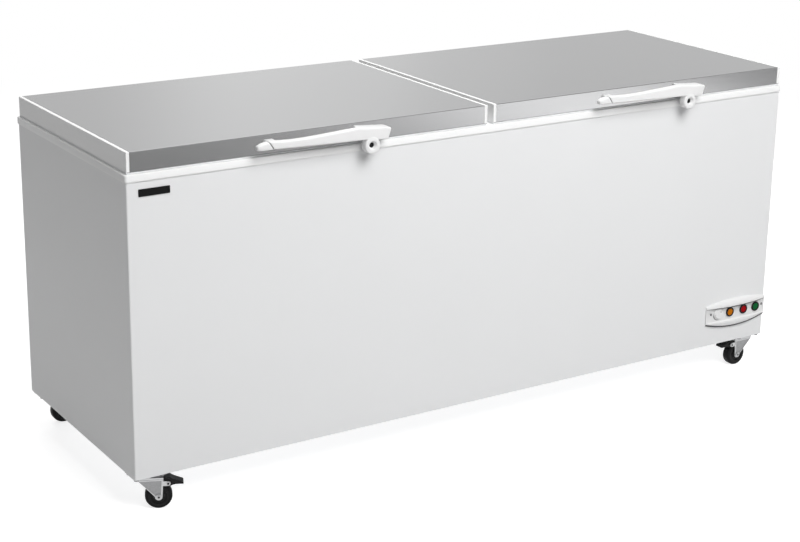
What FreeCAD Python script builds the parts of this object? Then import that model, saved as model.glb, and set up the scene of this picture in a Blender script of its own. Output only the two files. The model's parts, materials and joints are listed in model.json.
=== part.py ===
import FreeCAD, Part
import math
import os

# Two-lid chest freezer on castors. Millimetres, X to the right, front towards -Y, +Z up.
# The origin is on the floor, under the middle of the whole freezer.

# Cabinet
cabinet_width = 2000.0
cabinet_depth = 665.0
shell_height = 728.0
sheet = 1.0
corner_radius = 4.0
fold_return = 12.0
pan_sheet = 1.5
wall = 66.0
floor_wall = 70.0
liner_sheet = 1.0
liner_corner = 18.0

# Machine compartment at the right end
compartment_length = 330.0
compartment_height = 300.0
step_wall = 50.0

# Top rim and the bar between the two mouths
rim_height = 17.0
rim_overhang = 3.0
rim_plate = 3.0
mullion_width = 62.0
mullion_depth = 38.0

# Lids
lid_gap = 19.0
lid_inset = 2.5
lid_end_inset = 3.5
lid_lip = 5.0
lid_skin_height = 47.0
lid_cap = 8.5
lid_fold = 1.6
skin_sheet = 1.0
lip_width = 4.0
lip_rise = 2.6
gasket_width = 14.0
gasket_gap = 0.3
gasket_inset = 6.0

# Lid hinges
hinge_spread = 600.0
hinge_back = 17.5
hinge_up = 11.0
barrel_radius = 8.5
barrel_length = 60.0
barrel_wall = 2.0
barrel_end = 5.0
pin_radius = 3.0
pin_fit = 0.05
spring_gap = 0.3
ear_thick = 5.0
ear_gap = 0.3
hinge_plate = 3.0
hinge_plate_width = 84.0
hinge_plate_drop = 96.0
hinge_plate_below = 4.0
arm_plate_rise = 30.0
arm_web = 12.0

# Handles: reaches are to the left of a lid's middle, heights from the lower edge of its steel skin
handle_proud = 38.0
handle_bar_depth = 17.0
handle_nose_reach = 180.0
handle_foot_reach = 150.0
handle_gap_reach = 124.0
handle_waist_reach = 85.0
handle_step = 96.0
handle_right = 184.0
handle_foot_slant = 11.0
handle_nose_low = 18.0
handle_nose_high = 29.0
handle_crest_high = 37.5
handle_waist_high = 34.0
handle_step_high = 42.0
handle_block_end_high = 35.5
handle_block_side_high = 30.0
handle_bar_low_left = 17.0
handle_bar_low_right = 10.5
handle_block_low = 3.5
handle_round = 2.5

# Lid locks
lock_offset = 131.0
lock_drop = 5.0
boss_radius = 21.0
boss_depth = 19.0
boss_proud = 0.8
boss_dish = 4.0
lock_radius = 6.5
lock_fit = 0.05
lock_sunk = 6.0
cam_length = 13.0
cam_width = 7.0
cam_thick = 4.0
cam_back = 2.5
keeper_gap = 2.5
keeper_bar = 3.5
keeper_side = 0.8
keeper_depth = 12.0
keeper_low = 3.0

# Badge plate
badge_side = 30.0
badge_width = 78.0
badge_drop = 19.5
badge_height = 17.5
badge_thick = 2.0

# Control panel: heights from the cabinet bottom, lengths along from the panel's left end
panel_edge_gap = 2.0
panel_width = 223.0
panel_end_low = 63.0
panel_end_high = 120.0
panel_mid_low = 47.0
panel_mid_high = 131.0
panel_thick = 4.0
visor_low = 111.0
visor_proud = 15.0
lip_high = 70.0
lip_proud = 9.0
bow_end_proud = 1.0
lamp_height = 92.0
amber_along = 90.0
red_along = 142.0
green_along = 188.5
bezel_radius = 14.2
bezel_wall = 4.0
bezel_proud = 4.0
lamp_sunk = 0.5
lamp_round = 1.0
lamp_body_length = 14.0
lamp_fit = 0.1
screw_left_along = 18.0
screw_right_along = 213.5
screw_height = 95.0
screw_radius = 3.8
screw_head = 2.2
screw_shank = 1.8
screw_length = 6.0
knob_along = 46.0
knob_height = 93.0
knob_radius = 17.0
knob_depth = 5.0
knob_gap = 0.5
knob_skirt = 2.0
knob_grip_radius = 13.5
spindle_radius = 3.0
spindle_fit = 0.05
thermostat_size = 42.0
thermostat_depth = 36.0

# Evaporator tube wound round the liner, above the step
evaporator_turns = 7
evaporator_radius = 4.0
evaporator_rise = 50.0
evaporator_under_rim = 34.0
tube_gap = 0.15
channel_depth = 9.5
channel_margin = 28.0

# Machine compartment contents
compressor_from_side = 200.0
compressor_from_back = 207.0
compressor_radius = 82.0
compressor_straight = 110.0
compressor_dome = 34.0
compressor_base = 4.0
compressor_base_length = 210.0
compressor_base_width = 190.0
stub_radius = 7.0
stub_length = 12.0
stub_height = 70.0
stub_gap = 40.0
foot_radius = 13.0
foot_height = 18.0
foot_inset = 18.0
condenser_side_gap = 12.0
condenser_thick = 54.0
condenser_width = 260.0
condenser_height = 240.0
condenser_front = 60.0
fin_count = 27
fin_thick = 1.2
condenser_rows = 6
condenser_tube = 5.0
header_sheet = 2.0
fan_radius = 98.0
fan_blades = 5
fan_pitch = 28.0
fan_hub_radius = 26.0
fan_hub_depth = 30.0
fan_blade_width = 58.0
fan_blade_sheet = 2.4
fan_gap = 14.0
fan_bore_gap = 1.0
motor_radius = 34.0
motor_length = 48.0
motor_shaft_radius = 4.0
motor_shaft_fit = 0.05
bracket_sheet = 3.0
bracket_width = 90.0
bracket_foot = 50.0
pipe_radius = 4.0
pipe_bend = 20.0
dryer_radius = 12.0
dryer_length = 90.0
dryer_cone = 14.0
liquid_height = 40.0

# Louvres, rear grille and cord gland
louvre_count = 9
louvre_length = 150.0
louvre_height = 7.0
louvre_pitch = 22.0
louvre_low = 40.0
grille_width = 250.0
grille_height = 220.0
grille_low = 40.0
grille_sheet = 2.0
grille_border = 16.0
grille_slots = 9
grille_slot_height = 9.0
gland_outer = 16.0
gland_bore = 4.5
gland_proud = 12.0
gland_hole = 9.0
gland_height = 278.0

# Castors
castor_side = 42.0
castor_inset = 34.0
castor_trail = 30.0
front_left_steer = -24.0
front_right_steer = 0.0
wheel_radius = 33.0
wheel_width = 24.0
wheel_round = 5.0
wheel_hub_radius = 13.0
wheel_rim_radius = 21.0
wheel_dish = 4.0
axle_radius = 4.0
axle_fit = 0.08
axle_head_radius = 7.0
axle_head = 2.5
fork_sheet = 2.5
fork_gap = 1.6
fork_head = 16.0
fork_length = 64.0
fork_overhang = 12.0
fork_foot_radius = 9.0
kingpin_radius = 6.0
kingpin_fit = 0.08
kingpin_clear = 0.5
race_radius = 18.0
race_height = 7.0
race_gap = 0.3
plate_length = 82.0
plate_width = 58.0
plate_thick = 3.0
bolt_along = 33.0
bolt_across = 21.0
bolt_radius = 4.0
bolt_fit = 0.05
bolt_head_radius = 6.5
bolt_head = 4.5

# Brake pedals on the front castors, measured from the axle and from the top of the wheel
pedal_pivot_along = 23.0
pedal_pivot_above = 0.5
pedal_pivot_radius = 2.5
pedal_eye_radius = 5.5
pedal_back_gap = 1.5
pedal_back_above = 11.5
pedal_hump_along = 26.0
pedal_hump_above = 16.5
pedal_reach = 60.0
pedal_tip_above = 1.0
pedal_tip_thick = 10.0
pedal_shoe_along = 26.5
pedal_shoe_below = 8.0
pedal_shoe_thick = 5.5
pedal_side_gap = 0.5
pedal_fit = 0.06
ear_radius = 6.0


def vec(x, y, z):
    return FreeCAD.Vector(x, y, z)


across = vec(1, 0, 0)
backwards = vec(0, 1, 0)
upwards = vec(0, 0, 1)

# Levels and faces that many pieces share
cabinet_y = (handle_proud + boss_proud - lid_inset - hinge_back - barrel_radius) / 2
half_width = cabinet_width / 2
front_y = cabinet_y - cabinet_depth / 2
back_y = cabinet_y + cabinet_depth / 2
fork_top = 2 * wheel_radius + fork_head
bottom_z = fork_top + race_height + plate_thick
pan_top = bottom_z + pan_sheet
shell_top = bottom_z + shell_height
rim_top = shell_top + rim_height
foam_top = rim_top - rim_plate
skin_low = rim_top + lid_lip
lid_top = skin_low + lid_skin_height
mouth_x = half_width - wall
mouth_front = front_y + wall
mouth_back = back_y - wall
cavity_floor = bottom_z + floor_wall
compartment_x = half_width - compartment_length
compartment_top = bottom_z + compartment_height
step_x = compartment_x - step_wall
step_top = compartment_top + step_wall
lid_front = front_y + lid_inset
lid_back = back_y - lid_inset
lid_length = half_width - lid_gap / 2 - lid_end_inset
lid_pitch = lid_length + lid_gap
lid_centres = (-lid_pitch / 2, lid_pitch / 2)
hinge_y = back_y + hinge_back
hinge_z = rim_top + hinge_up
hinge_offsets = (-hinge_spread / 2, hinge_spread / 2)
lock_z = skin_low - lock_drop
rim_front = front_y - rim_overhang
grille_x = half_width - compartment_length / 2
grille_x0 = grille_x - grille_width / 2
grille_x1 = grille_x + grille_width / 2
grille_z0 = bottom_z + grille_low
grille_z1 = grille_z0 + grille_height
gland_z = bottom_z + gland_height
panel_right = half_width - panel_edge_gap
panel_left = panel_right - panel_width
lamp_radius = bezel_radius - bezel_wall - lamp_fit
lamp_z = bottom_z + lamp_height
knob_x = panel_left + knob_along
knob_z = bottom_z + knob_height
compressor_x = half_width - compressor_from_side
compressor_y = back_y - compressor_from_back
evaporator_low = step_top + evaporator_rise
evaporator_high = foam_top - evaporator_under_rim
evaporator_pitch = (evaporator_high - evaporator_low) / evaporator_turns
suction_z = pan_top + foot_height + compressor_base + compressor_dome + stub_height
discharge_z = suction_z - stub_gap
liquid_z = pan_top + liquid_height
condenser_x1 = half_width - sheet - condenser_side_gap
condenser_x0 = condenser_x1 - condenser_thick
condenser_x = (condenser_x0 + condenser_x1) / 2
condenser_y0 = front_y + condenser_front
condenser_y1 = condenser_y0 + condenser_width
condenser_y = (condenser_y0 + condenser_y1) / 2
condenser_top = pan_top + condenser_height
fan_z = pan_top + condenser_height / 2
wheel_top = 2 * wheel_radius
pedal_pivot_x = castor_trail + pedal_pivot_along
pedal_pivot_z = wheel_top + pedal_pivot_above


def box(x0, x1, y0, y1, z0, z1):
    return Part.makeBox(x1 - x0, y1 - y0, z1 - z0, vec(x0, y0, z0))


def rod(radius, length, x, y, z, axis):
    return Part.makeCylinder(radius, length, vec(x, y, z), axis)


def rounded_box(x0, x1, y0, y1, z0, z1, radius):
    # A box whose four upright edges are rounded.
    block = box(x0, x1, y0, y1, z0, z1)
    upright = []
    for edge in block.Edges:
        if abs(edge.tangentAt(edge.FirstParameter).z) > 0.5:
            upright.append(edge)
    return block.makeFillet(radius, upright)


def prism(points, axis, depth):
    # A closed outline of straight sides, pushed along an axis.
    wire = Part.makePolygon(points + [points[0]])
    return Part.Face(wire).extrude(axis * depth)


def rounded_front(shape, face_y, radius):
    # Rounds every edge that lies in the front face.
    edges = [edge for edge in shape.Edges if edge.BoundBox.YMax < face_y + radius / 2]
    return shape.makeFillet(radius, edges)


def joined(shapes):
    whole = shapes[0].fuse(shapes[1:])
    return whole.removeSplitter()


def bent_tube(points, radius, bend):
    # A round tube along straight runs joined by tangent arcs.
    edges = []
    start = points[0]
    for i in range(1, len(points) - 1):
        corner = points[i]
        to_last = (points[i - 1] - corner).normalize()
        to_next = (points[i + 1] - corner).normalize()
        half = to_last.getAngle(to_next) / 2
        setback = bend / math.tan(half)
        first = corner + to_last * setback
        second = corner + to_next * setback
        middle = (to_last + to_next).normalize()
        crown = corner + middle * (bend / math.sin(half) - bend)
        edges.append(Part.LineSegment(start, first).toShape())
        edges.append(Part.Arc(first, crown, second).toShape())
        start = second
    edges.append(Part.LineSegment(start, points[-1]).toShape())
    path = Part.Wire(edges)
    heading = (points[1] - points[0]).normalize()
    ring = Part.Wire([Part.Circle(points[0], heading, radius).toShape()])
    return path.makePipeShell([ring], True, False)


def save(name, shapes):
    shape = shapes[0] if len(shapes) == 1 else Part.makeCompound(shapes)
    for solid in shape.Solids:
        if not solid.isValid():
            print("not valid:", name)
    shape.exportStep("parts/" + name + ".step")
    print(name, len(shape.Solids), round(shape.Volume))


def cavity(grow):
    # The storage space with its step over the machine compartment, grown outwards.
    main = rounded_box(
        -mouth_x - grow, mouth_x + grow, mouth_front - grow, mouth_back + grow,
        cavity_floor - grow, foam_top, liner_corner - liner_sheet + grow)
    step = box(step_x + grow, half_width, front_y, back_y, bottom_z, step_top - grow)
    return main.cut(step)


def screw_places():
    # Two screws on the control panel and four on the rear grille, each with its face and direction.
    places = []
    for along in (screw_left_along, screw_right_along):
        places.append((panel_left + along, front_y - panel_thick, bottom_z + screw_height, 1))
    for x in (grille_x0 + grille_border / 2, grille_x1 - grille_border / 2):
        for z in (grille_z0 + grille_border / 2, grille_z1 - grille_border / 2):
            places.append((x, back_y + grille_sheet, z, -1))
    return places


def screw_holes(shape):
    for x, y, z, way in screw_places():
        start = y - way * screw_head
        hole = rod(screw_shank + bolt_fit, screw_length + screw_head, x, start, z, backwards * way)
        shape = shape.cut(hole)
    return shape


def panel_openings(shape):
    # Holes for the three lamps and the thermostat spindle, through the control panel and the front sheet.
    depth = panel_thick + sheet
    for along in (amber_along, red_along, green_along):
        x = panel_left + along
        shape = shape.cut(rod(lamp_radius + lamp_fit, depth, x, front_y - panel_thick, lamp_z, backwards))
    hole = spindle_radius + knob_gap
    return shape.cut(rod(hole, depth, knob_x, front_y - panel_thick, knob_z, backwards))


def cabinet_panels():
    outer = rounded_box(-half_width, half_width, front_y, back_y, bottom_z, shell_top, corner_radius)
    inner = rounded_box(
        -half_width + sheet, half_width - sheet, front_y + sheet, back_y - sheet,
        bottom_z, shell_top, corner_radius - sheet)
    ring = outer.cut(inner)
    fold_front = front_y + fold_return
    fold_back = back_y - fold_return
    front = ring.common(box(-half_width, half_width, front_y, fold_front, bottom_z, shell_top))
    back = ring.common(box(-half_width, half_width, fold_back, back_y, bottom_z, shell_top))
    left = ring.common(box(-half_width, 0, fold_front, fold_back, bottom_z, shell_top))
    right = ring.common(box(0, half_width, fold_front, fold_back, bottom_z, shell_top))
    front = screw_holes(panel_openings(front))
    window = box(
        grille_x0 + grille_border, grille_x1 - grille_border, fold_back, back_y,
        grille_z0 + grille_border, grille_z1 - grille_border)
    back = screw_holes(back.cut(window))
    back = back.cut(rod(gland_hole, fold_return, grille_x, fold_back, gland_z, backwards))
    for i in range(louvre_count):
        z = bottom_z + louvre_low + i * louvre_pitch
        slot = box(
            half_width - fold_return, half_width, condenser_y - louvre_length / 2,
            condenser_y + louvre_length / 2, z, z + louvre_height)
        right = right.cut(slot)
    save("front_panel", [front])
    save("back_panel", [back])
    save("left_side_panel", [left])
    save("right_side_panel", [right])


def castor_places():
    # Name, swivel axis and the turn from the right-hand way: castors trail towards the cabinet's middle.
    front = front_y + castor_inset
    rear = back_y - castor_inset
    left = -half_width + castor_side
    return [
        ("front_left", left, front, front_left_steer),
        ("front_right", -left, front, 180 + front_right_steer),
        ("rear_left", left, rear, 0),
        ("rear_right", -left, rear, 180)]


def bolt_places():
    places = []
    for name, x, y, turn in castor_places():
        for along in (-bolt_along, bolt_along):
            for aside in (-bolt_across, bolt_across):
                places.append((x + along, y + aside))
    return places


def base_pan():
    pan = rounded_box(
        -half_width + sheet, half_width - sheet, front_y + sheet, back_y - sheet,
        bottom_z, pan_top, corner_radius)
    for x, y in bolt_places():
        pan = pan.cut(rod(bolt_radius + bolt_fit, pan_sheet, x, y, bottom_z, upwards))
    save("base_pan", [pan])


def evaporator_path():
    offset = liner_sheet + tube_gap + evaporator_radius
    x = mouth_x + offset
    y0 = mouth_front - offset
    y1 = mouth_back + offset
    z = evaporator_low
    points = [vec(x, compressor_y, compartment_top - stub_length), vec(x, compressor_y, z)]
    for i in range(evaporator_turns):
        points.append(vec(x, y0, z))
        points.append(vec(-x, y0, z))
        points.append(vec(-x, y1, z))
        z = z + evaporator_pitch
        points.append(vec(x, y1, z))
    points.append(vec(x, cabinet_y, z))
    return points


def insulation():
    points = evaporator_path()
    drop_x = points[0].x
    foam = rounded_box(
        -half_width + sheet, half_width - sheet, front_y + sheet, back_y - sheet,
        pan_top, foam_top, corner_radius)
    reach = liner_sheet + channel_depth
    channel = rounded_box(
        -mouth_x - reach, mouth_x + reach, mouth_front - reach, mouth_back + reach,
        evaporator_low - channel_margin, evaporator_high + channel_depth, liner_corner + channel_depth)
    machine_space = box(compartment_x, half_width, front_y, back_y, bottom_z, compartment_top)
    drop_length = evaporator_low - compartment_top
    drop = rod(evaporator_radius + tube_gap, drop_length, drop_x, compressor_y, compartment_top, upwards)
    foam = foam.cut(cavity(liner_sheet))
    foam = foam.cut(channel)
    foam = foam.cut(machine_space)
    foam = foam.cut(drop)
    save("insulation_foam", [foam])
    save("inner_liner", [cavity(liner_sheet).cut(cavity(0))])
    tube = bent_tube(points, evaporator_radius, liner_corner + tube_gap + evaporator_radius)
    save("evaporator_tube", [tube])


def top_rim():
    reach = rim_overhang
    outer = rounded_box(
        -half_width - reach, half_width + reach, front_y - reach, back_y + reach,
        shell_top, rim_top, corner_radius + reach)
    pocket = box(
        -half_width + sheet, half_width - sheet, front_y + sheet, back_y - sheet, shell_top, foam_top)
    mouth = rounded_box(
        -mouth_x, mouth_x, mouth_front, mouth_back, shell_top, rim_top, liner_corner - liner_sheet)
    band = outer.cut(pocket).cut(mouth)
    # Four lengths of one profile, mitred at the corners.
    mitres = []
    for x, y, way_x, way_y in (
            (-mouth_x, mouth_front, 1, 1), (mouth_x, mouth_front, -1, 1),
            (mouth_x, mouth_back, -1, -1), (-mouth_x, mouth_back, 1, -1)):
        run = wall + reach
        outer_end = vec(x - way_x * run, y - way_y * run, shell_top)
        inner_end = vec(x + way_x * liner_corner, y + way_y * liner_corner, shell_top)
        mitres.append((outer_end, inner_end))
    lengths = []
    for i in range(len(mitres)):
        outline = [mitres[i - 1][0], mitres[i][0], mitres[i][1], mitres[i - 1][1]]
        lengths.append(band.common(prism(outline, upwards, rim_height)))
    save("top_rim", lengths)
    half = mullion_width / 2
    save("centre_mullion", [box(-half, half, mouth_front, mouth_back, rim_top - mullion_depth, rim_top)])


def control_panel():
    z0 = bottom_z
    middle = (panel_left + panel_right) / 2
    low_left = vec(panel_left, front_y, z0 + panel_end_low)
    high_left = vec(panel_left, front_y, z0 + panel_end_high)
    low_right = vec(panel_right, front_y, z0 + panel_end_low)
    high_right = vec(panel_right, front_y, z0 + panel_end_high)
    crown = vec(middle, front_y, z0 + panel_mid_high)
    belly = vec(middle, front_y, z0 + panel_mid_low)
    outline = Part.Wire([
        Part.LineSegment(low_left, high_left).toShape(),
        Part.Arc(high_left, crown, high_right).toShape(),
        Part.LineSegment(high_right, low_right).toShape(),
        Part.Arc(low_right, belly, low_left).toShape()])
    face = Part.Face(outline)
    plate = face.extrude(backwards * -panel_thick)
    pieces = [plate]
    for proud, low, high in (
            (visor_proud, visor_low, panel_mid_high),
            (lip_proud, panel_mid_low, lip_high)):
        rib = face.extrude(backwards * -proud)
        rib = rib.common(box(panel_left, panel_right, front_y - proud, front_y, z0 + low, z0 + high))
        # Bowed in plan: full depth in the middle, nearly flush at both ends.
        half = panel_width / 2
        sag = proud - panel_thick - bow_end_proud
        bow = (half * half + sag * sag) / (2 * sag)
        pieces.append(rib.common(rod(bow, high - low, middle, front_y - proud + bow, z0 + low, upwards)))
    save("control_panel", [screw_holes(panel_openings(joined(pieces)))])


def lamps():
    face_y = front_y - panel_thick
    bezels = []
    for name, along in (("amber", amber_along), ("red", red_along), ("green", green_along)):
        x = panel_left + along
        ring = rod(bezel_radius, bezel_proud, x, face_y - bezel_proud, lamp_z, backwards)
        hole = rod(bezel_radius - bezel_wall, bezel_proud, x, face_y - bezel_proud, lamp_z, backwards)
        bezels.append(ring.cut(hole))
        length = bezel_proud - lamp_sunk + panel_thick + lamp_body_length
        tip_y = face_y - bezel_proud + lamp_sunk
        lamp = rod(lamp_radius, length, x, tip_y, lamp_z, backwards)
        save(name + "_lamp", [rounded_front(lamp, tip_y, lamp_round)])
    save("lamp_bezels", bezels)


def thermostat():
    half = thermostat_size / 2
    inside = front_y + sheet
    body = box(knob_x - half, knob_x + half, inside, inside + thermostat_depth, knob_z - half, knob_z + half)
    bore_depth = thermostat_depth / 2
    body = body.cut(rod(spindle_radius + spindle_fit, bore_depth, knob_x, inside, knob_z, backwards))
    knob_back = front_y - panel_thick - knob_gap
    skirt = rod(knob_radius, knob_skirt, knob_x, knob_back - knob_skirt, knob_z, backwards)
    grip = rod(knob_grip_radius, knob_depth, knob_x, knob_back - knob_depth, knob_z, backwards)
    reach = inside + bore_depth - knob_gap - knob_back
    spindle = rod(spindle_radius, reach, knob_x, knob_back, knob_z, backwards)
    save("thermostat_body", [body])
    save("thermostat_knob", [joined([skirt, grip, spindle])])


def badge_and_screws():
    left = -half_width + badge_side
    top = shell_top - badge_drop
    badge = box(left, left + badge_width, front_y - badge_thick, front_y, top - badge_height, top)
    save("badge_plate", [badge])
    screws = []
    for x, y, z, way in screw_places():
        axis = backwards * way
        head = rod(screw_radius, screw_head, x, y - way * screw_head, z, axis)
        shank = rod(screw_shank, screw_length, x, y, z, axis)
        screws.append(joined([head, shank]))
    save("cover_screws", screws)


def rear_grille():
    plate = box(grille_x0, grille_x1, back_y, back_y + grille_sheet, grille_z0, grille_z1)
    inner_height = grille_height - 2 * grille_border
    slot_pitch = inner_height / grille_slots
    for i in range(grille_slots):
        z = grille_z0 + grille_border + (i + 0.5) * slot_pitch
        slot = box(
            grille_x0 + grille_border, grille_x1 - grille_border, back_y, back_y + grille_sheet,
            z - grille_slot_height / 2, z + grille_slot_height / 2)
        plate = plate.cut(slot)
    save("rear_grille", [screw_holes(plate)])
    collar = rod(gland_outer, gland_proud, grille_x, back_y, gland_z, backwards)
    neck = rod(gland_hole - bolt_fit, gland_proud, grille_x, back_y - gland_proud, gland_z, backwards)
    bore = rod(gland_bore, 2 * gland_proud, grille_x, back_y - gland_proud, gland_z, backwards)
    save("cord_gland", [joined([collar, neck]).cut(bore)])


def hinges():
    # Fixed half of the four hinges: a plate on the back panel with two ears, the pin and its hidden spring.
    brackets = []
    pins = []
    springs = []
    plate_top = shell_top - hinge_plate_below
    plate_low = plate_top - hinge_plate_drop
    ear_low = plate_top - hinge_plate_drop / 2
    inner_face = barrel_length / 2 + ear_gap
    spring_half = barrel_length / 2 - barrel_end - spring_gap
    for lid_x in lid_centres:
        for offset in hinge_offsets:
            x = lid_x + offset
            half = hinge_plate_width / 2
            pieces = [box(x - half, x + half, back_y, back_y + hinge_plate, plate_low, plate_top)]
            for start in (x - inner_face - ear_thick, x + inner_face):
                ear = prism([
                    vec(start, back_y, ear_low),
                    vec(start, back_y, plate_top),
                    vec(start, back_y + rim_overhang + ear_gap, plate_top),
                    vec(start, hinge_y - barrel_radius, hinge_z),
                    vec(start, hinge_y + barrel_radius, hinge_z),
                    vec(start, back_y + hinge_plate, ear_low)], across, ear_thick)
                pieces.append(ear)
                pieces.append(rod(barrel_radius, ear_thick, start, hinge_y, hinge_z, across))
            pin_half = inner_face + ear_thick
            hole = rod(pin_radius + pin_fit, 2 * pin_half, x - pin_half, hinge_y, hinge_z, across)
            brackets.append(joined(pieces).cut(hole))
            pins.append(rod(pin_radius, 2 * pin_half, x - pin_half, hinge_y, hinge_z, across))
            outer = barrel_radius - barrel_wall - spring_gap
            sleeve = rod(outer, 2 * spring_half, x - spring_half, hinge_y, hinge_z, across)
            hollow = rod(pin_radius + spring_gap, 2 * spring_half, x - spring_half, hinge_y, hinge_z, across)
            springs.append(sleeve.cut(hollow))
    save("hinge_brackets", brackets)
    save("hinge_pins", pins)
    save("hinge_springs", springs)


def hinge_arms():
    # Moving half of a lid's two hinges: a plate on the back of the lid with a hollow barrel.
    arms = []
    half = barrel_length / 2
    for x in hinge_offsets:
        plate_high = skin_low + arm_plate_rise
        plate = box(x - half, x + half, lid_back, lid_back + hinge_plate, skin_low, plate_high)
        web = box(x - half, x + half, lid_back, hinge_y, hinge_z - arm_web / 2, hinge_z + arm_web / 2)
        barrel = rod(barrel_radius, barrel_length, x - half, hinge_y, hinge_z, across)
        inside = half - barrel_end
        room = rod(barrel_radius - barrel_wall, 2 * inside, x - inside, hinge_y, hinge_z, across)
        bore = rod(pin_radius + pin_fit, barrel_length, x - half, hinge_y, hinge_z, across)
        arms.append(joined([plate, web, barrel]).cut(room).cut(bore))
    return arms


def folded_block(x0, x1, inset, radius):
    # The lid's section with both upper long edges rounded.
    block = box(x0, x1, lid_front + inset, lid_back - inset, skin_low, lid_top - inset)
    edges = []
    for edge in block.Edges:
        along = abs(edge.tangentAt(edge.FirstParameter).x) > 0.5
        if along and edge.CenterOfMass.z > skin_low + inset:
            edges.append(edge)
    return block.makeFillet(radius, edges)


def lid_gasket():
    half = lid_length / 2 - gasket_inset
    y0 = lid_front + gasket_inset
    y1 = lid_back - gasket_inset
    z0 = rim_top + gasket_gap
    z1 = rim_top + lip_rise
    outer = box(-half, half, y0, y1, z0, z1)
    inner = box(
        -half + gasket_width, half - gasket_width, y0 + gasket_width, y1 - gasket_width, z0, z1)
    return outer.cut(inner)


def lid_inner_panel():
    half = lid_length / 2
    panel = box(-half, half, lid_front, lid_back, rim_top + gasket_gap, skin_low)
    recess = box(
        -half + lip_width, half - lip_width, lid_front + lip_width, lid_back - lip_width,
        rim_top, rim_top + lip_rise)
    return panel.cut(recess)


def lid_handle():
    face_y = lid_front - handle_proud
    outline = []
    for x, z in (
            (-handle_nose_reach, handle_nose_low),
            (-handle_nose_reach, handle_nose_high),
            (-handle_foot_reach, handle_crest_high),
            (-handle_waist_reach, handle_waist_high),
            (handle_step, handle_step_high),
            (handle_right - handle_foot_slant, handle_block_end_high),
            (handle_right, handle_block_side_high),
            (handle_right - handle_foot_slant, handle_block_low),
            (handle_step, handle_bar_low_right),
            (-handle_foot_reach, handle_bar_low_left)):
        outline.append(vec(x, face_y, skin_low + z))
    body = rounded_front(prism(outline, backwards, handle_proud), face_y, handle_round)
    gap_y = face_y + handle_bar_depth
    finger_gap = box(-handle_gap_reach, handle_step, gap_y, lid_front, skin_low, lid_top)
    behind_nose = box(-handle_nose_reach, -handle_foot_reach, gap_y, lid_front, skin_low, lid_top)
    boss_y = face_y - boss_proud
    boss_length = boss_proud + boss_depth
    boss = rod(boss_radius, boss_length, lock_offset, boss_y, lock_z, backwards)
    boss = rounded_front(boss, boss_y, handle_round)
    behind_boss = rod(
        boss_radius, handle_proud - boss_depth, lock_offset, face_y + boss_depth, lock_z, backwards)
    hole = lock_radius + lock_fit
    bore = rod(hole, boss_length, lock_offset, boss_y, lock_z, backwards)
    dish = Part.makeCone(
        hole + boss_dish, hole, boss_proud + lock_sunk, vec(lock_offset, boss_y, lock_z), backwards)
    handle = joined([body, boss]).cut(finger_gap).cut(behind_nose).cut(behind_boss)
    return handle.cut(bore).cut(dish)


def lock_cylinder():
    # The key cylinder with its cam, which hangs down while the lid is free.
    face_y = lid_front - handle_proud
    cam_y = face_y + boss_depth + cam_back
    core_y = face_y + lock_sunk
    core = rod(lock_radius, cam_y + cam_thick - core_y, lock_offset, core_y, lock_z, backwards)
    cam = box(
        lock_offset - cam_width / 2, lock_offset + cam_width / 2, cam_y, cam_y + cam_thick,
        lock_z - cam_length, lock_z)
    return joined([core, cam])


def lock_keeper(lid_x):
    # A hook on the rim that the turned cam lies under.
    x0 = lid_x + lock_offset + lock_radius + keeper_gap
    x1 = lid_x + lock_offset + cam_length + keeper_side
    y0 = rim_front - keeper_depth
    tab_low = lock_z + cam_width / 2 + keeper_side
    stalk = box(x1, x1 + keeper_bar, y0, rim_front, shell_top + keeper_low, tab_low + keeper_bar)
    tab = box(x0, x1 + keeper_bar, y0, rim_front, tab_low, tab_low + keeper_bar)
    return joined([stalk, tab])


def lids():
    half = lid_length / 2
    inner_half = half - lid_cap
    skin = folded_block(-inner_half, inner_half, 0, lid_fold)
    skin = skin.cut(folded_block(-inner_half, inner_half, skin_sheet, lid_fold - skin_sheet))
    core = folded_block(-inner_half, inner_half, skin_sheet, lid_fold)
    caps = [folded_block(-half, -inner_half, 0, lid_fold), folded_block(inner_half, half, 0, lid_fold)]
    pieces = {
        "lid_skin": [skin],
        "lid_core": [core],
        "lid_end_caps": caps,
        "lid_inner_panel": [lid_inner_panel()],
        "lid_gasket": [lid_gasket()],
        "lid_handle": [lid_handle()],
        "lid_hinge_arms": hinge_arms(),
        "lock_cylinder": [lock_cylinder()]}
    keepers = []
    for side, lid_x in zip(("left", "right"), lid_centres):
        for name, shapes in pieces.items():
            save(side + "_" + name, [shape.translated(vec(lid_x, 0, 0)) for shape in shapes])
        keepers.append(lock_keeper(lid_x))
    save("lock_keepers", keepers)


def compressor():
    foot_top = pan_top + foot_height
    base_top = foot_top + compressor_base
    half_length = compressor_base_length / 2
    half_depth = compressor_base_width / 2
    base = box(
        compressor_x - half_length, compressor_x + half_length,
        compressor_y - half_depth, compressor_y + half_depth, foot_top, base_top)
    height = compressor_straight + 2 * compressor_dome
    shell = rod(compressor_radius, height, compressor_x, compressor_y, base_top, upwards)
    rims = [edge for edge in shell.Edges if edge.BoundBox.ZLength < compressor_base]
    shell = shell.makeFillet(compressor_dome, rims)
    pieces = [base, shell]
    for z in (suction_z, discharge_z):
        length = compressor_radius + stub_length
        pieces.append(rod(stub_radius, length, compressor_x, compressor_y, z, across))
    save("compressor", [joined(pieces)])
    feet = []
    for x in (compressor_x - half_length + foot_inset, compressor_x + half_length - foot_inset):
        for y in (compressor_y - half_depth + foot_inset, compressor_y + half_depth - foot_inset):
            feet.append(rod(foot_radius, foot_height, x, y, pan_top, upwards))
    save("compressor_feet", feet)


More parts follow.
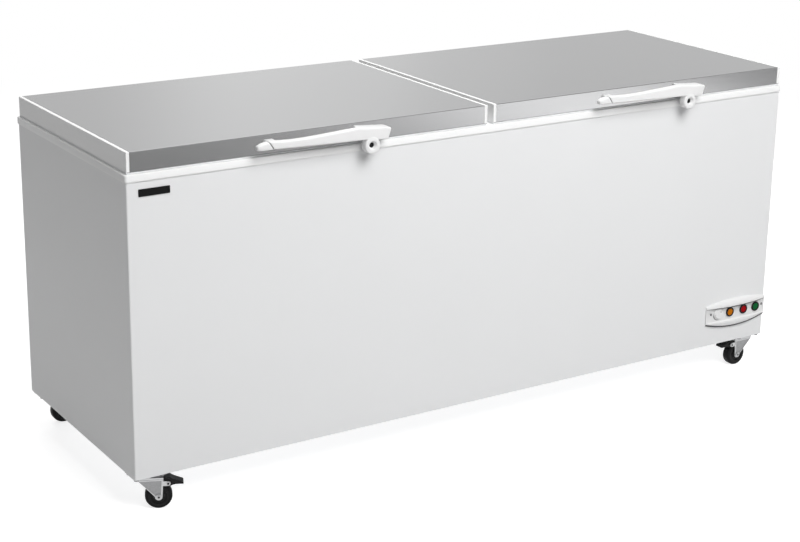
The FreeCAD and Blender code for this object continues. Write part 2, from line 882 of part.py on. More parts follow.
def condenser():
    pieces = []
    fin_pitch = (condenser_width - header_sheet) / (fin_count - 1)
    for i in range(fin_count):
        thick = header_sheet if i in (0, fin_count - 1) else fin_thick
        y = condenser_y0 + i * fin_pitch
        pieces.append(box(condenser_x0, condenser_x1, y, y + thick, pan_top, condenser_top))
    row_pitch = condenser_height / condenser_rows
    for i in range(condenser_rows):
        z = pan_top + (i + 0.5) * row_pitch
        pieces.append(rod(condenser_tube, condenser_width, condenser_x, condenser_y0, z, backwards))
    save("condenser", [joined(pieces)])


def fan():
    hub_x1 = condenser_x0 - fan_gap
    hub_x0 = hub_x1 - fan_hub_depth
    motor_x1 = hub_x0 - fan_bore_gap
    motor_x0 = motor_x1 - motor_length
    hub = rod(fan_hub_radius, fan_hub_depth, hub_x0, condenser_y, fan_z, across)
    pieces = [hub]
    centre = vec((hub_x0 + hub_x1) / 2, condenser_y, fan_z)
    for i in range(fan_blades):
        blade = box(
            centre.x - fan_blade_sheet / 2, centre.x + fan_blade_sheet / 2,
            condenser_y - fan_blade_width / 2, condenser_y + fan_blade_width / 2,
            fan_z + fan_hub_radius - fan_blade_sheet, fan_z + fan_radius)
        blade.rotate(centre, upwards, fan_pitch)
        blade.rotate(centre, across, i * 360 / fan_blades)
        pieces.append(blade)
    shaft_length = fan_hub_depth - bracket_sheet
    bore = rod(motor_shaft_radius + motor_shaft_fit, fan_hub_depth, hub_x0, condenser_y, fan_z, across)
    save("condenser_fan", [joined(pieces).cut(bore)])
    motor = rod(motor_radius, motor_length, motor_x0, condenser_y, fan_z, across)
    shaft_reach = motor_length + fan_bore_gap + shaft_length
    shaft = rod(motor_shaft_radius, shaft_reach, motor_x0, condenser_y, fan_z, across)
    half = bracket_width / 2
    upright = box(
        motor_x0 - bracket_sheet, motor_x0, condenser_y - half, condenser_y + half,
        pan_top, fan_z + motor_radius)
    foot = box(
        motor_x0 - bracket_foot, motor_x0, condenser_y - half, condenser_y + half,
        pan_top, pan_top + bracket_sheet)
    save("fan_motor", [joined([motor, shaft]), joined([upright, foot])])


def refrigerant_pipes():
    stub_end = compressor_x + compressor_radius + stub_length
    drop = evaporator_path()[0]
    suction = bent_tube([
        vec(stub_end, compressor_y, suction_z),
        vec(drop.x, compressor_y, suction_z),
        drop], pipe_radius, pipe_bend)
    discharge = bent_tube([
        vec(stub_end, compressor_y, discharge_z),
        vec(condenser_x, compressor_y, discharge_z),
        vec(condenser_x, condenser_y1, discharge_z)], pipe_radius, pipe_bend)
    dryer_y0 = condenser_y1 + pipe_bend
    dryer_y1 = dryer_y0 + dryer_length
    liquid = rod(pipe_radius, pipe_bend, condenser_x, condenser_y1, liquid_z, backwards)
    straight = dryer_length - 2 * dryer_cone
    barrel = rod(dryer_radius, straight, condenser_x, dryer_y0 + dryer_cone, liquid_z, backwards)
    inlet = Part.makeCone(
        pipe_radius, dryer_radius, dryer_cone, vec(condenser_x, dryer_y0, liquid_z), backwards)
    outlet = Part.makeCone(
        dryer_radius, pipe_radius, dryer_cone, vec(condenser_x, dryer_y1 - dryer_cone, liquid_z), backwards)
    capillary_y = dryer_y1 + 2 * pipe_bend
    capillary = bent_tube([
        vec(condenser_x, dryer_y1, liquid_z),
        vec(condenser_x, capillary_y, liquid_z),
        vec(condenser_x, capillary_y, compartment_top)], pipe_radius, pipe_bend)
    save("refrigerant_pipes", [suction, discharge, liquid, joined([barrel, inlet, outlet]), capillary])


def castor_fork(braked):
    # A folded fork on its kingpin, with the axle, and on the front castors the pedal pin.
    side = wheel_width / 2 + fork_gap
    outside = side + fork_sheet
    x1 = castor_trail + fork_overhang
    x0 = x1 - fork_length
    pieces = [box(x0, x1, -outside, outside, fork_top - fork_sheet, fork_top)]
    pieces.append(rod(kingpin_radius, bottom_z - kingpin_clear - fork_top, 0, 0, fork_top, upwards))
    for y in (-outside, side):
        cheek = prism([
            vec(x0, y, fork_top),
            vec(x1, y, fork_top),
            vec(castor_trail + fork_foot_radius, y, wheel_radius),
            vec(castor_trail - fork_foot_radius, y, wheel_radius)], backwards, fork_sheet)
        pieces.append(cheek)
        pieces.append(rod(fork_foot_radius, fork_sheet, castor_trail, y, wheel_radius, backwards))
        if braked:
            pieces.append(rod(ear_radius, fork_sheet, pedal_pivot_x, y, pedal_pivot_z, backwards))
            pieces.append(box(
                castor_trail, pedal_pivot_x, y, y + fork_sheet,
                pedal_pivot_z - ear_radius, pedal_pivot_z + ear_radius))
    fork = joined(pieces)
    axle_hole = axle_radius + axle_fit
    fork = fork.cut(rod(axle_hole, 2 * outside, castor_trail, -outside, wheel_radius, backwards))
    axle = rod(axle_radius, 2 * outside, castor_trail, -outside, wheel_radius, backwards)
    for y in (-outside - axle_head, outside):
        axle = axle.fuse(rod(axle_head_radius, axle_head, castor_trail, y, wheel_radius, backwards))
    shapes = [fork, axle.removeSplitter()]
    if braked:
        span = 2 * outside
        hole = rod(pedal_pivot_radius + pedal_fit, span, pedal_pivot_x, -outside, pedal_pivot_z, backwards)
        shapes[0] = fork.cut(hole)
        shapes.append(rod(pedal_pivot_radius, span, pedal_pivot_x, -outside, pedal_pivot_z, backwards))
    return shapes


def castor_wheel():
    half = wheel_width / 2
    tyre = rod(wheel_radius, wheel_width, castor_trail, -half, wheel_radius, backwards)
    shoulders = [edge for edge in tyre.Edges if edge.BoundBox.YLength < wheel_round]
    wheel = tyre.makeFillet(wheel_round, shoulders)
    for y in (-half, half - wheel_dish):
        dish = rod(wheel_rim_radius, wheel_dish, castor_trail, y, wheel_radius, backwards)
        hub = rod(wheel_hub_radius, wheel_dish, castor_trail, y, wheel_radius, backwards)
        wheel = wheel.cut(dish.cut(hub))
    return wheel.cut(rod(axle_radius + axle_fit, wheel_width, castor_trail, -half, wheel_radius, backwards))


def brake_pedal():
    half = wheel_width / 2 + fork_gap - pedal_side_gap
    eye = rod(pedal_eye_radius, 2 * half, pedal_pivot_x, -half, pedal_pivot_z, backwards)
    back_x = castor_trail + fork_overhang + pedal_back_gap
    hump_x = castor_trail + pedal_hump_along
    shoe_x = castor_trail + pedal_shoe_along
    shoe_z = wheel_top - pedal_shoe_below
    tip_x = castor_trail + pedal_reach
    tip_z = wheel_top + pedal_tip_above
    lever = prism([
        vec(back_x, -half, wheel_top + pedal_back_above),
        vec(hump_x, -half, wheel_top + pedal_hump_above),
        vec(tip_x, -half, tip_z),
        vec(tip_x, -half, tip_z - pedal_tip_thick),
        vec(shoe_x + pedal_shoe_thick, -half, shoe_z + pedal_shoe_thick / 2),
        vec(shoe_x, -half, shoe_z),
        vec(pedal_pivot_x - pedal_eye_radius, -half, pedal_pivot_z)], backwards, 2 * half)
    bore = rod(pedal_pivot_radius + pedal_fit, 2 * half, pedal_pivot_x, -half, pedal_pivot_z, backwards)
    return joined([eye, lever]).cut(bore)


def castor_plate():
    plate_low = bottom_z - plate_thick
    half_length = plate_length / 2
    half_width_across = plate_width / 2
    plate = box(-half_length, half_length, -half_width_across, half_width_across, plate_low, bottom_z)
    race = rod(race_radius, plate_low - fork_top - race_gap, 0, 0, fork_top + race_gap, upwards)
    bore = rod(kingpin_radius + kingpin_fit, bottom_z - fork_top, 0, 0, fork_top, upwards)
    return joined([plate, race]).cut(bore)


def castors():
    plates = []
    for name, x, y, turn in castor_places():
        place = FreeCAD.Placement(vec(x, y, 0), FreeCAD.Rotation(upwards, turn))
        braked = name.startswith("front")
        save("castor_fork_" + name, [shape.transformed(place.toMatrix()) for shape in castor_fork(braked)])
        save("castor_wheel_" + name, [castor_wheel().transformed(place.toMatrix())])
        if braked:
            save("brake_pedal_" + name, [brake_pedal().transformed(place.toMatrix())])
        plates.append(castor_plate().translated(vec(x, y, 0)))
    bolts = []
    plate_low = bottom_z - plate_thick
    for x, y in bolt_places():
        head = Part.makeCylinder(bolt_head_radius, bolt_head, vec(x, y, plate_low - bolt_head), upwards)
        shank = rod(bolt_radius, plate_thick + pan_sheet, x, y, plate_low, upwards)
        bolts.append(joined([head, shank]))
        hole = rod(bolt_radius + bolt_fit, plate_thick, x, y, plate_low, upwards)
        plates = [plate.cut(hole) for plate in plates]
    save("castor_plates", plates)
    save("castor_bolts", bolts)


os.makedirs("parts", exist_ok=True)
cabinet_panels()
base_pan()
insulation()
top_rim()
control_panel()
lamps()
thermostat()
badge_and_screws()
rear_grille()
hinges()
lids()
compressor()
condenser()
fan()
refrigerant_pipes()
castors()
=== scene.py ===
import bpy, bmesh, json, math
from mathutils import Matrix, Vector


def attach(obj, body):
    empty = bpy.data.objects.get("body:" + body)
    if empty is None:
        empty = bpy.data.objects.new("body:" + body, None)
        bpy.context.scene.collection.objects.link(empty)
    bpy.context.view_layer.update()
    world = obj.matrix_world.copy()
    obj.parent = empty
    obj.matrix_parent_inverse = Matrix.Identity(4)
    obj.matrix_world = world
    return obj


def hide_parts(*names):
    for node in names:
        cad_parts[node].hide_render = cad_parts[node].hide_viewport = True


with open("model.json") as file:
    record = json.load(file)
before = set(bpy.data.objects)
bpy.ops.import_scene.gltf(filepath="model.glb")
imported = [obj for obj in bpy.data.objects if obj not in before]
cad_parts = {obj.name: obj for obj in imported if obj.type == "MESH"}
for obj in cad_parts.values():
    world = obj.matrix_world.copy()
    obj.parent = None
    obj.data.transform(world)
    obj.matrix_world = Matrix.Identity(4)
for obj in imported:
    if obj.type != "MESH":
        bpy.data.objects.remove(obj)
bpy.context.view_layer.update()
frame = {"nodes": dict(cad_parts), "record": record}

mm = 0.001
nodes = frame["nodes"]
lidAt = {"left": -503.0, "right": 503.0}  # middle of each lid along the freezer
castorCorners = ("front_left", "front_right", "rear_left", "rear_right")
evenly = (1, 1, 1)  # a texture that isn't stretched
noiseLow, noiseHigh = 0.25, 0.75  # most values of a noise texture lie between these
coatRough = 0.08
brushShare = 0.6  # share of the brush lines in the tone of a brushed metal
print("frame loaded:", len(nodes), "nodes")


def shown(r, g, b):  # a display colour as the shader takes it
    return tuple(((c / 255 + 0.055) / 1.055) ** 2.4 if c > 10 else c / 255 / 12.92 for c in (r, g, b)) + (1,)


def scaled(tone, k):
    return tuple(min(1.0, c * k) for c in tone[:3]) + (1,)


def addNode(tree, kind, place, inputs=None, **values):  # inputs by name, or by number
    node = tree.nodes.new(kind)
    node.location = place
    for key, value in values.items():
        setattr(node, key, value)
    for key, value in (inputs or {}).items():
        node.inputs[key].default_value = value
    return node


def linked(name, data):  # a new object in the scene
    thing = bpy.data.objects.new(name, data)
    bpy.context.scene.collection.objects.link(thing)
    return thing


def bareMaterial(name):
    mat = bpy.data.materials.new(name)
    mat.use_nodes = True
    mat.node_tree.nodes.clear()
    return mat, mat.node_tree


def stretched(tree, coords, stretch):
    if stretch == evenly:
        return coords
    turn = addNode(tree, "ShaderNodeMapping", (-900, 0), {"Scale": stretch})
    tree.links.new(coords, turn.inputs["Vector"])
    return turn.outputs["Vector"]


def spread(tree, value, low, high, at):  # a texture value spread between two numbers
    node = addNode(tree, "ShaderNodeMapRange", at, {"From Min": noiseLow, "From Max": noiseHigh,
                                                    "To Min": low, "To Max": high})
    tree.links.new(value, node.inputs["Value"])
    return node.outputs["Result"]


def twoTone(tree, value, low, high, at):
    node = addNode(tree, "ShaderNodeMix", at, {6: low, 7: high}, data_type="RGBA")
    tree.links.new(value, node.inputs[0])
    return node.outputs[2]


def blended(tree, first, second, share):  # two texture values mixed
    node = addNode(tree, "ShaderNodeMix", (-300, 500), {0: share}, data_type="FLOAT")
    tree.links.new(first, node.inputs[2])
    tree.links.new(second, node.inputs[3])
    return node.outputs[0]


# One finish: a tone that drifts over the surface, a roughness that varies and a fine grain in relief
def finish(name, tone, rough=0.4, roughDrift=0.05, metal=0.0, drift=0.03, patch=3.0, grain=700.0, relief=0.02,
           depth=0.0002, stretch=evenly, cells=0.0, cellDrift=0.0, coat=0.0, specular=0.5, brushed=0.0):
    mat, tree = bareMaterial(name)
    join = tree.links.new
    out = addNode(tree, "ShaderNodeOutputMaterial", (900, 0))
    skin = addNode(tree, "ShaderNodeBsdfPrincipled", (600, 0), {
        "Metallic": metal, "Coat Weight": coat, "Coat Roughness": coatRough, "Specular IOR Level": specular,
        "Anisotropic": brushed})
    join(skin.outputs[0], out.inputs[0])
    coords = addNode(tree, "ShaderNodeTexCoord", (-1100, 0)).outputs["Object"]
    broad = addNode(tree, "ShaderNodeTexNoise", (-700, 300), {"Scale": patch, "Detail": 3.0})
    join(coords, broad.inputs["Vector"])
    fine = addNode(tree, "ShaderNodeTexNoise", (-700, -200), {"Scale": grain, "Detail": 2.0})
    join(stretched(tree, coords, stretch), fine.inputs["Vector"])
    value = broad.outputs["Fac"]
    if cells:  # crystals of zinc, or the pores of a foam
        spots = addNode(tree, "ShaderNodeTexVoronoi", (-700, 600), {"Scale": cells})
        join(coords, spots.inputs["Vector"])
        apart = addNode(tree, "ShaderNodeSeparateColor", (-500, 600))
        join(spots.outputs["Color"], apart.inputs["Color"])
        value = blended(tree, value, apart.outputs[0], cellDrift)
    elif stretch != evenly:  # brush lines colour the metal a little as well
        value = blended(tree, value, fine.outputs["Fac"], brushShare)
    tint = twoTone(tree, value, scaled(tone, 1 - drift), scaled(tone, 1 + drift), (0, 300))
    join(tint, skin.inputs["Base Color"])
    gloss = spread(tree, fine.outputs["Fac"], rough - roughDrift, rough + roughDrift, (0, 0))
    join(gloss, skin.inputs["Roughness"])
    if brushed:  # brush lines run straight along the part
        along = addNode(tree, "ShaderNodeVectorTransform", (300, -600), {0: (1, 0, 0)}, vector_type="VECTOR",
                        convert_from="OBJECT", convert_to="WORLD")
        join(along.outputs[0], skin.inputs["Tangent"])
    bump = addNode(tree, "ShaderNodeBump", (300, -300), {"Strength": relief, "Distance": depth})
    join(fine.outputs["Fac"], bump.inputs["Height"])
    join(bump.outputs["Normal"], skin.inputs["Normal"])
    return mat


# Finishes of the freezer, by the slot names of its record
lensLook = {"rough": 0.3, "drift": 0.22, "patch": 220, "grain": 500, "specular": 0.06}
looks = {
    "white_paint": finish("whitePaint", (0.80, 0.805, 0.81, 1), rough=0.36, drift=0.012, grain=850,
                          relief=0.05),
    "rim_white": finish("rimWhite", (0.9, 0.902, 0.9, 1), rough=0.34, drift=0.012, grain=1500, relief=0.03),
    "panel_white": finish("panelWhite", (0.80, 0.80, 0.80, 1), rough=0.33, drift=0.012, grain=1800,
                          relief=0.03),
    "handle_white": finish("handleWhite", (0.82, 0.82, 0.82, 1), rough=0.3, drift=0.012, grain=1800,
                           relief=0.02),
    "liner_white": finish("linerWhite", (0.80, 0.81, 0.82, 1), rough=0.42, drift=0.015, grain=260,
                          relief=0.08),
    "grille_white": finish("grilleWhite", (0.79, 0.79, 0.785, 1), rough=0.4, drift=0.015, grain=1200,
                           relief=0.03),
    "lid_steel": finish("lidSteel", (0.42, 0.422, 0.426, 1), rough=0.22, roughDrift=0.03, metal=1.0,
                        drift=0.03, grain=14, stretch=(1, 160, 160), relief=0.02, depth=0.0001,
                        brushed=0.45),
    "hinge_steel": finish("hingeSteel", (0.55, 0.56, 0.58, 1), rough=0.36, metal=1.0, drift=0.06, cells=170,
                          cellDrift=0.5, grain=1300, relief=0.04),
    "spring_steel": finish("springSteel", (0.42, 0.43, 0.45, 1), rough=0.3, metal=1.0, drift=0.08,
                           grain=1600),
    "screw_steel": finish("screwSteel", (0.22, 0.22, 0.225, 1), rough=0.34, metal=1.0, drift=0.06,
                          grain=2400),
    "castor_zinc": finish("castorZinc", (0.5, 0.504, 0.51, 1), rough=0.36, metal=1.0, drift=0.07, cells=230,
                          cellDrift=0.55, grain=1500, relief=0.05),
    "galvanised_steel": finish("galvanisedSteel", (0.56, 0.57, 0.585, 1), rough=0.42, metal=1.0, drift=0.12,
                               cells=75, cellDrift=0.8, grain=900, relief=0.04),
    "aluminium": finish("aluminium", (0.72, 0.73, 0.74, 1), rough=0.4, metal=1.0, drift=0.05, grain=1100),
    "copper": finish("copper", (0.66, 0.31, 0.19, 1), rough=0.32, metal=1.0, drift=0.16, patch=26,
                     grain=900),
    "insulation": finish("insulationFoam", (0.78, 0.68, 0.40, 1), rough=0.85, drift=0.08, cells=420,
                         cellDrift=0.7, grain=600, relief=0.3, depth=0.0006, specular=0.2),
    "gasket_grey": finish("gasketGrey", (0.20, 0.205, 0.21, 1), rough=0.62, drift=0.05, grain=1500,
                          relief=0.05),
    "black_plastic": finish("blackPlastic", (0.009, 0.009, 0.0095, 1), rough=0.42, drift=0.15, grain=1500,
                            relief=0.08, specular=0.14),
    "lock_black": finish("lockBlack", (0.008, 0.008, 0.0085, 1), rough=0.32, drift=0.1, grain=2200,
                         relief=0.04, specular=0.2),
    "compressor_black": finish("compressorBlack", (0.014, 0.014, 0.015, 1), rough=0.36, drift=0.15,
                               grain=420, relief=0.1, coat=0.15),
    "black_rubber": finish("blackRubber", (0.022, 0.022, 0.022, 1), rough=0.7, drift=0.12, grain=1300,
                           relief=0.1),
    "castor_tyre": finish("castorTyre", (0.007, 0.007, 0.0075, 1), rough=0.5, drift=0.15, grain=1200,
                          relief=0.1, specular=0.12),
    "amber_lens": finish("amberLens", shown(196, 112, 0), **lensLook),
    "red_lens": finish("redLens", shown(158, 0, 10), **lensLook),
    "green_lens": finish("greenLens", shown(0, 96, 46), **lensLook),
}
hubGrey = finish("hubGrey", (0.014, 0.014, 0.0145, 1), rough=0.46, drift=0.1, grain=1400, relief=0.06,
                 specular=0.14)
badgeBlack = finish("badgeBlack", (0.006, 0.0065, 0.0065, 1), rough=0.34, drift=0.1, grain=2600,
                    relief=0.02, specular=0.12)
# Dark grey for the knob's pointer mark, and as painted shade for the crescent beside the knob
markGrey = finish("markGrey", (0.10, 0.10, 0.105, 1), rough=0.45, drift=0.08, grain=1800, relief=0.03)
# Dark grey for the seam of each handle's nose cap and the centres of the fork rivets, and as painted shade:
# the shadow lines of the control panel and the strip under each handle bar
seamGrey = finish("seamGrey", (0.045, 0.045, 0.048, 1), rough=0.5, drift=0.08, grain=1800, relief=0.03,
                  specular=0.2)

# Which slot each node is finished in
slotNodes = {
    "white_paint": ["front_panel", "left_side_panel", "right_side_panel", "back_panel"],
    "galvanised_steel": ["base_pan", "fan_motor"],
    "insulation": ["insulation_foam", "left_lid_core", "right_lid_core"],
    "liner_white": ["inner_liner", "left_lid_inner_panel", "right_lid_inner_panel"],
    "aluminium": ["evaporator_tube", "condenser"],
    "copper": ["refrigerant_pipes"],
    "rim_white": ["top_rim", "centre_mullion", "left_lid_end_caps", "right_lid_end_caps"],
    "panel_white": ["control_panel", "thermostat_knob"],
    "handle_white": ["left_lid_handle", "right_lid_handle"],
    "lid_steel": ["left_lid_skin", "right_lid_skin"],
    "gasket_grey": ["left_lid_gasket", "right_lid_gasket"],
    "black_plastic": ["lamp_bezels", "badge_plate", "thermostat_body", "brake_pedal_front_left",
                      "brake_pedal_front_right", "condenser_fan", "cord_gland"],
    "lock_black": ["left_lock_cylinder", "right_lock_cylinder"],
    "amber_lens": ["amber_lamp"], "red_lens": ["red_lamp"], "green_lens": ["green_lamp"],
    "hinge_steel": ["hinge_brackets", "left_lid_hinge_arms", "right_lid_hinge_arms", "lock_keepers"],
    "spring_steel": ["hinge_springs", "hinge_pins"],
    "compressor_black": ["compressor"], "black_rubber": ["compressor_feet"],
    "castor_zinc": ["castor_plates"] + ["castor_fork_" + c for c in castorCorners],
    "castor_tyre": ["castor_wheel_" + c for c in castorCorners],
    "screw_steel": ["cover_screws", "castor_bolts"],
    "grille_white": ["rear_grille"],
}
slotOf = {node: slot for slot, names in slotNodes.items() for node in names}
for node, thing in nodes.items():
    for i in range(len(thing.data.materials)):
        thing.data.materials[i] = looks[slotOf[node]]
print("finishes set:", len(looks), "on", len(slotOf), "nodes")


# Mesh helpers: points are in millimetres, meshes in metres
def smoothed(mesh, sharp=32):  # smooth, but for edges sharper than some degrees
    mesh.shade_smooth()
    mesh.set_sharp_from_angle(angle=math.radians(sharp))


def settle(mesh, sharp=32):
    bm = bmesh.new()
    bm.from_mesh(mesh)
    bmesh.ops.remove_doubles(bm, verts=bm.verts, dist=1e-6)
    bmesh.ops.recalc_face_normals(bm, faces=bm.faces)
    bm.to_mesh(mesh)
    bm.free()
    smoothed(mesh, sharp)


def makePiece(name, shells, mats, sharp=32):
    mesh = bpy.data.meshes.new(name)
    verts, faces, marks = [], [], []
    for points, sides, slot in shells:
        start = len(verts)
        verts += [Vector(p) * mm for p in points]
        faces += [tuple(start + i for i in side) for side in sides]
        marks += slot if isinstance(slot, list) else [slot] * len(sides)
    mesh.from_pydata(verts, [], faces)
    for mat in mats:
        mesh.materials.append(mat)
    for face, slot in zip(mesh.polygons, marks):
        face.material_index = slot
    settle(mesh, sharp)
    return linked(name, mesh)


def loft(rings, slot=0, closed=False):  # closed: the last ring meets the first, as round a frame
    n = len(rings[0])
    points = [p for ring in rings for p in ring]
    sides = []
    for k in range(len(rings) if closed else len(rings) - 1):
        a, b = k * n, (k + 1) % len(rings) * n
        sides += [(a + i, a + (i + 1) % n, b + (i + 1) % n, b + i) for i in range(n)]
    if not closed:
        sides += [tuple(range(n)), tuple(range(len(points) - 1, len(points) - n - 1, -1))]
    return points, sides, slot


def roundedOutline(u0, u1, v0, v1, radius, steps=4):  # a rectangle with round corners, in two coordinates
    radii = radius if isinstance(radius, (tuple, list)) else (radius,) * 4
    corners = ((u1, v1, 0), (u0, v1, 90), (u0, v0, 180), (u1, v0, 270))
    line = []
    for (u, v, start), r in zip(corners, radii):
        r = max(0.01, min(r, abs(u1 - u0) * 0.49, abs(v1 - v0) * 0.49))
        cu = u - r if u == u1 else u + r
        cv = v - r if v == v1 else v + r
        for k in range(steps + 1):
            a = math.radians(start + 90 * k / steps)
            line.append((cu + r * math.cos(a), cv + r * math.sin(a)))
    return line


def turned(profile, steps, at, axis="y", slot=0, tube=False):  # (radius, along) pairs turned round an axis
    u, v, w = {"y": (0, 2, 1), "z": (0, 1, 2)}[axis]
    points, sides, rings = [], [], []
    for radius, along in profile:
        count = 1 if radius == 0 else steps
        ring = []
        for k in range(count):
            a = 2 * math.pi * k / steps
            p = [0, 0, 0]
            p[u] = at[u] + radius * math.cos(a)
            p[v] = at[v] + radius * math.sin(a)
            p[w] = at[w] + along
            ring.append(len(points))
            points.append(p)
        rings.append(ring)
    pairs = list(zip(rings, rings[1:])) + ([(rings[-1], rings[0])] if tube else [])
    for a, b in pairs:
        for k in range(steps):
            j = (k + 1) % steps
            if len(a) == 1 and len(b) > 1:
                sides.append((a[0], b[j], b[k]))
            elif len(b) == 1 and len(a) > 1:
                sides.append((a[k], a[j], b[0]))
            elif len(a) > 1:
                sides.append((a[k], a[j], b[j], b[k]))
    if not tube:
        for ring in (rings[0], rings[-1]):
            if len(ring) > 1:
                sides.append(tuple(ring))
    return points, sides, slot


def openTurned(profile, steps, at, slot=0):  # turned, but without its two end caps
    points, sides, slot = turned(profile, steps, at, slot=slot)
    return points, sides[:-2], slot


def drill(r, reach, at):  # what a hole along y takes away
    return turned(((r, -reach), (r, reach)), 32, at)


def plateOf(outline, low, high, slot=0):  # an outline in x and z, given a thickness along y
    return loft([[(x, y, z) for x, z in outline] for y in (low, high)], slot)


def plain(thing):  # modifiers made real, as a mesh of its own
    bpy.context.view_layer.update()
    made = bpy.data.meshes.new_from_object(thing.evaluated_get(bpy.context.evaluated_depsgraph_get()))
    old = thing.data
    thing.modifiers.clear()
    thing.data = made
    made.name = thing.name
    if old.users == 0:
        bpy.data.meshes.remove(old)
    return thing


def eased(thing, width, steps=2, angle=32):  # edges rounded over by some millimetres
    bevel = thing.modifiers.new("ease", "BEVEL")
    bevel.width = width * mm
    bevel.segments = steps
    bevel.limit_method = "ANGLE"
    bevel.angle_limit = math.radians(angle)
    even = thing.modifiers.new("even", "WEIGHTED_NORMAL")
    even.keep_sharp = True
    return plain(thing)


def softCopy(node, width, angle):  # a node with its edges eased, as folding or moulding leaves them
    mesh = nodes[node].data.copy()
    bm = bmesh.new()
    bm.from_mesh(mesh)
    bmesh.ops.remove_doubles(bm, verts=bm.verts, dist=2e-6)
    bmesh.ops.dissolve_limit(bm, angle_limit=math.radians(0.4), verts=bm.verts, edges=bm.edges)
    bm.to_mesh(mesh)
    bm.free()
    if "custom_normal" in mesh.attributes:
        mesh.attributes.remove(mesh.attributes["custom_normal"])
    smoothed(mesh, angle + 8)
    return eased(linked(node + "_eased", mesh), width, angle=angle)


bodyOf = {node: body for body, members in frame["record"]["behaviour"]["bodies"].items() for node in members}


def standFor(thing, node):  # the piece takes a node's place on its body
    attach(thing, bodyOf[node])
    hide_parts(node)


def addTo(thing, body):  # a piece that no node stands for
    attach(thing, body)


# Repeated pieces: one shape set at many places by a geometry node tree, then made one plain mesh
def copyTree():
    tree = bpy.data.node_groups.new("placedCopies", "GeometryNodeTree")
    for name, way, kind in (("Geometry", "INPUT", "Geometry"), ("Shape", "INPUT", "Object"),
                            ("Finish", "INPUT", "Material"), ("Geometry", "OUTPUT", "Geometry")):
        tree.interface.new_socket(name, in_out=way, socket_type="NodeSocket" + kind)
    start = addNode(tree, "NodeGroupInput", (-600, 0))
    shape = addNode(tree, "GeometryNodeObjectInfo", (-300, -200))
    points = addNode(tree, "GeometryNodeMeshToPoints", (-300, 100))
    put = addNode(tree, "GeometryNodeInstanceOnPoints", (0, 0))
    real = addNode(tree, "GeometryNodeRealizeInstances", (250, 0))
    coat = addNode(tree, "GeometryNodeSetMaterial", (450, 0))
    end = addNode(tree, "NodeGroupOutput", (650, 0))
    for source, out, target, into in (
            (start, "Geometry", points, "Mesh"), (start, "Shape", shape, "Object"),
            (points, "Points", put, "Points"), (shape, "Geometry", put, "Instance"),
            (put, "Instances", real, "Geometry"), (real, "Geometry", coat, "Geometry"),
            (start, "Finish", coat, "Material"), (coat, "Geometry", end, "Geometry")):
        tree.links.new(source.outputs[out], target.inputs[into])
    return tree


placedCopies = copyTree()


def copies(name, shape, places, sharp=32):  # places in millimetres; the shape itself is used up
    mesh = bpy.data.meshes.new(name)
    mesh.from_pydata([Vector(p) * mm for p in places], [], [])
    thing = linked(name, mesh)
    work = thing.modifiers.new("copies", "NODES")
    work.node_group = placedCopies
    given = {"Shape": shape, "Finish": shape.data.materials[0]}
    for item in placedCopies.interface.items_tree:
        if item.name in given:
            work[item.identifier] = given[item.name]
    plain(thing)
    bpy.data.objects.remove(shape)
    smoothed(thing.data, sharp)
    return thing


def joinMeshes(name, things):  # several plain meshes run together as one piece
    bm = bmesh.new()
    for thing in things:
        bm.from_mesh(thing.data)
    mesh = bpy.data.meshes.new(name)
    bm.to_mesh(mesh)
    bm.free()
    for mat in things[0].data.materials:
        mesh.materials.append(mat)
    smoothed(mesh)
    for thing in things:
        bpy.data.objects.remove(thing)
    return linked(name, mesh)


def bored(thing, shells):  # holes or slots cut by solid shapes
    cutter = makePiece(thing.name + "Cutter", shells, [])
    cut = thing.modifiers.new("bore", "BOOLEAN")
    cut.operation = "DIFFERENCE"
    cut.solver = "EXACT"
    cut.use_self = True
    cut.object = cutter
    plain(thing)
    bpy.data.objects.remove(cutter)
    return thing


def boxShell(x0, x1, y0, y1, z0, z1):
    return plateOf([(x1, z1), (x0, z1), (x0, z0), (x1, z0)], y0, y1)


# Screws: a domed head with a cross cut in it, on its shank; way is 1 where the head faces the back, else -1
screw = {"radius": 3.7, "head": 2.1, "shank": 1.75, "length": 6.0, "steps": 28,
         "cross": 0.9, "crossLong": 4.6, "deep": 1.1}


def screwShape(name, way):
    r, h = screw["radius"], screw["head"]
    head = ((0, h), (r * 0.35, h - 0.03), (r * 0.68, h - 0.3), (r * 0.9, h - 0.8), (r, h - 1.5), (r, 0),
            (screw["shank"], 0), (screw["shank"], -screw["length"]), (0, -screw["length"]))
    shell = turned([(a, b * way) for a, b in head], screw["steps"], (0, 0, 0))
    thing = makePiece(name, [shell], [looks["screw_steel"]])
    half, reach = screw["cross"] / 2, screw["crossLong"] / 2
    y0, y1 = sorted(((h - screw["deep"]) * way, (h + 1) * way))
    return bored(thing, [boxShell(-half, half, y0, y1, -reach, reach),
                         boxShell(-reach, reach, y0, y1, -half, half)])


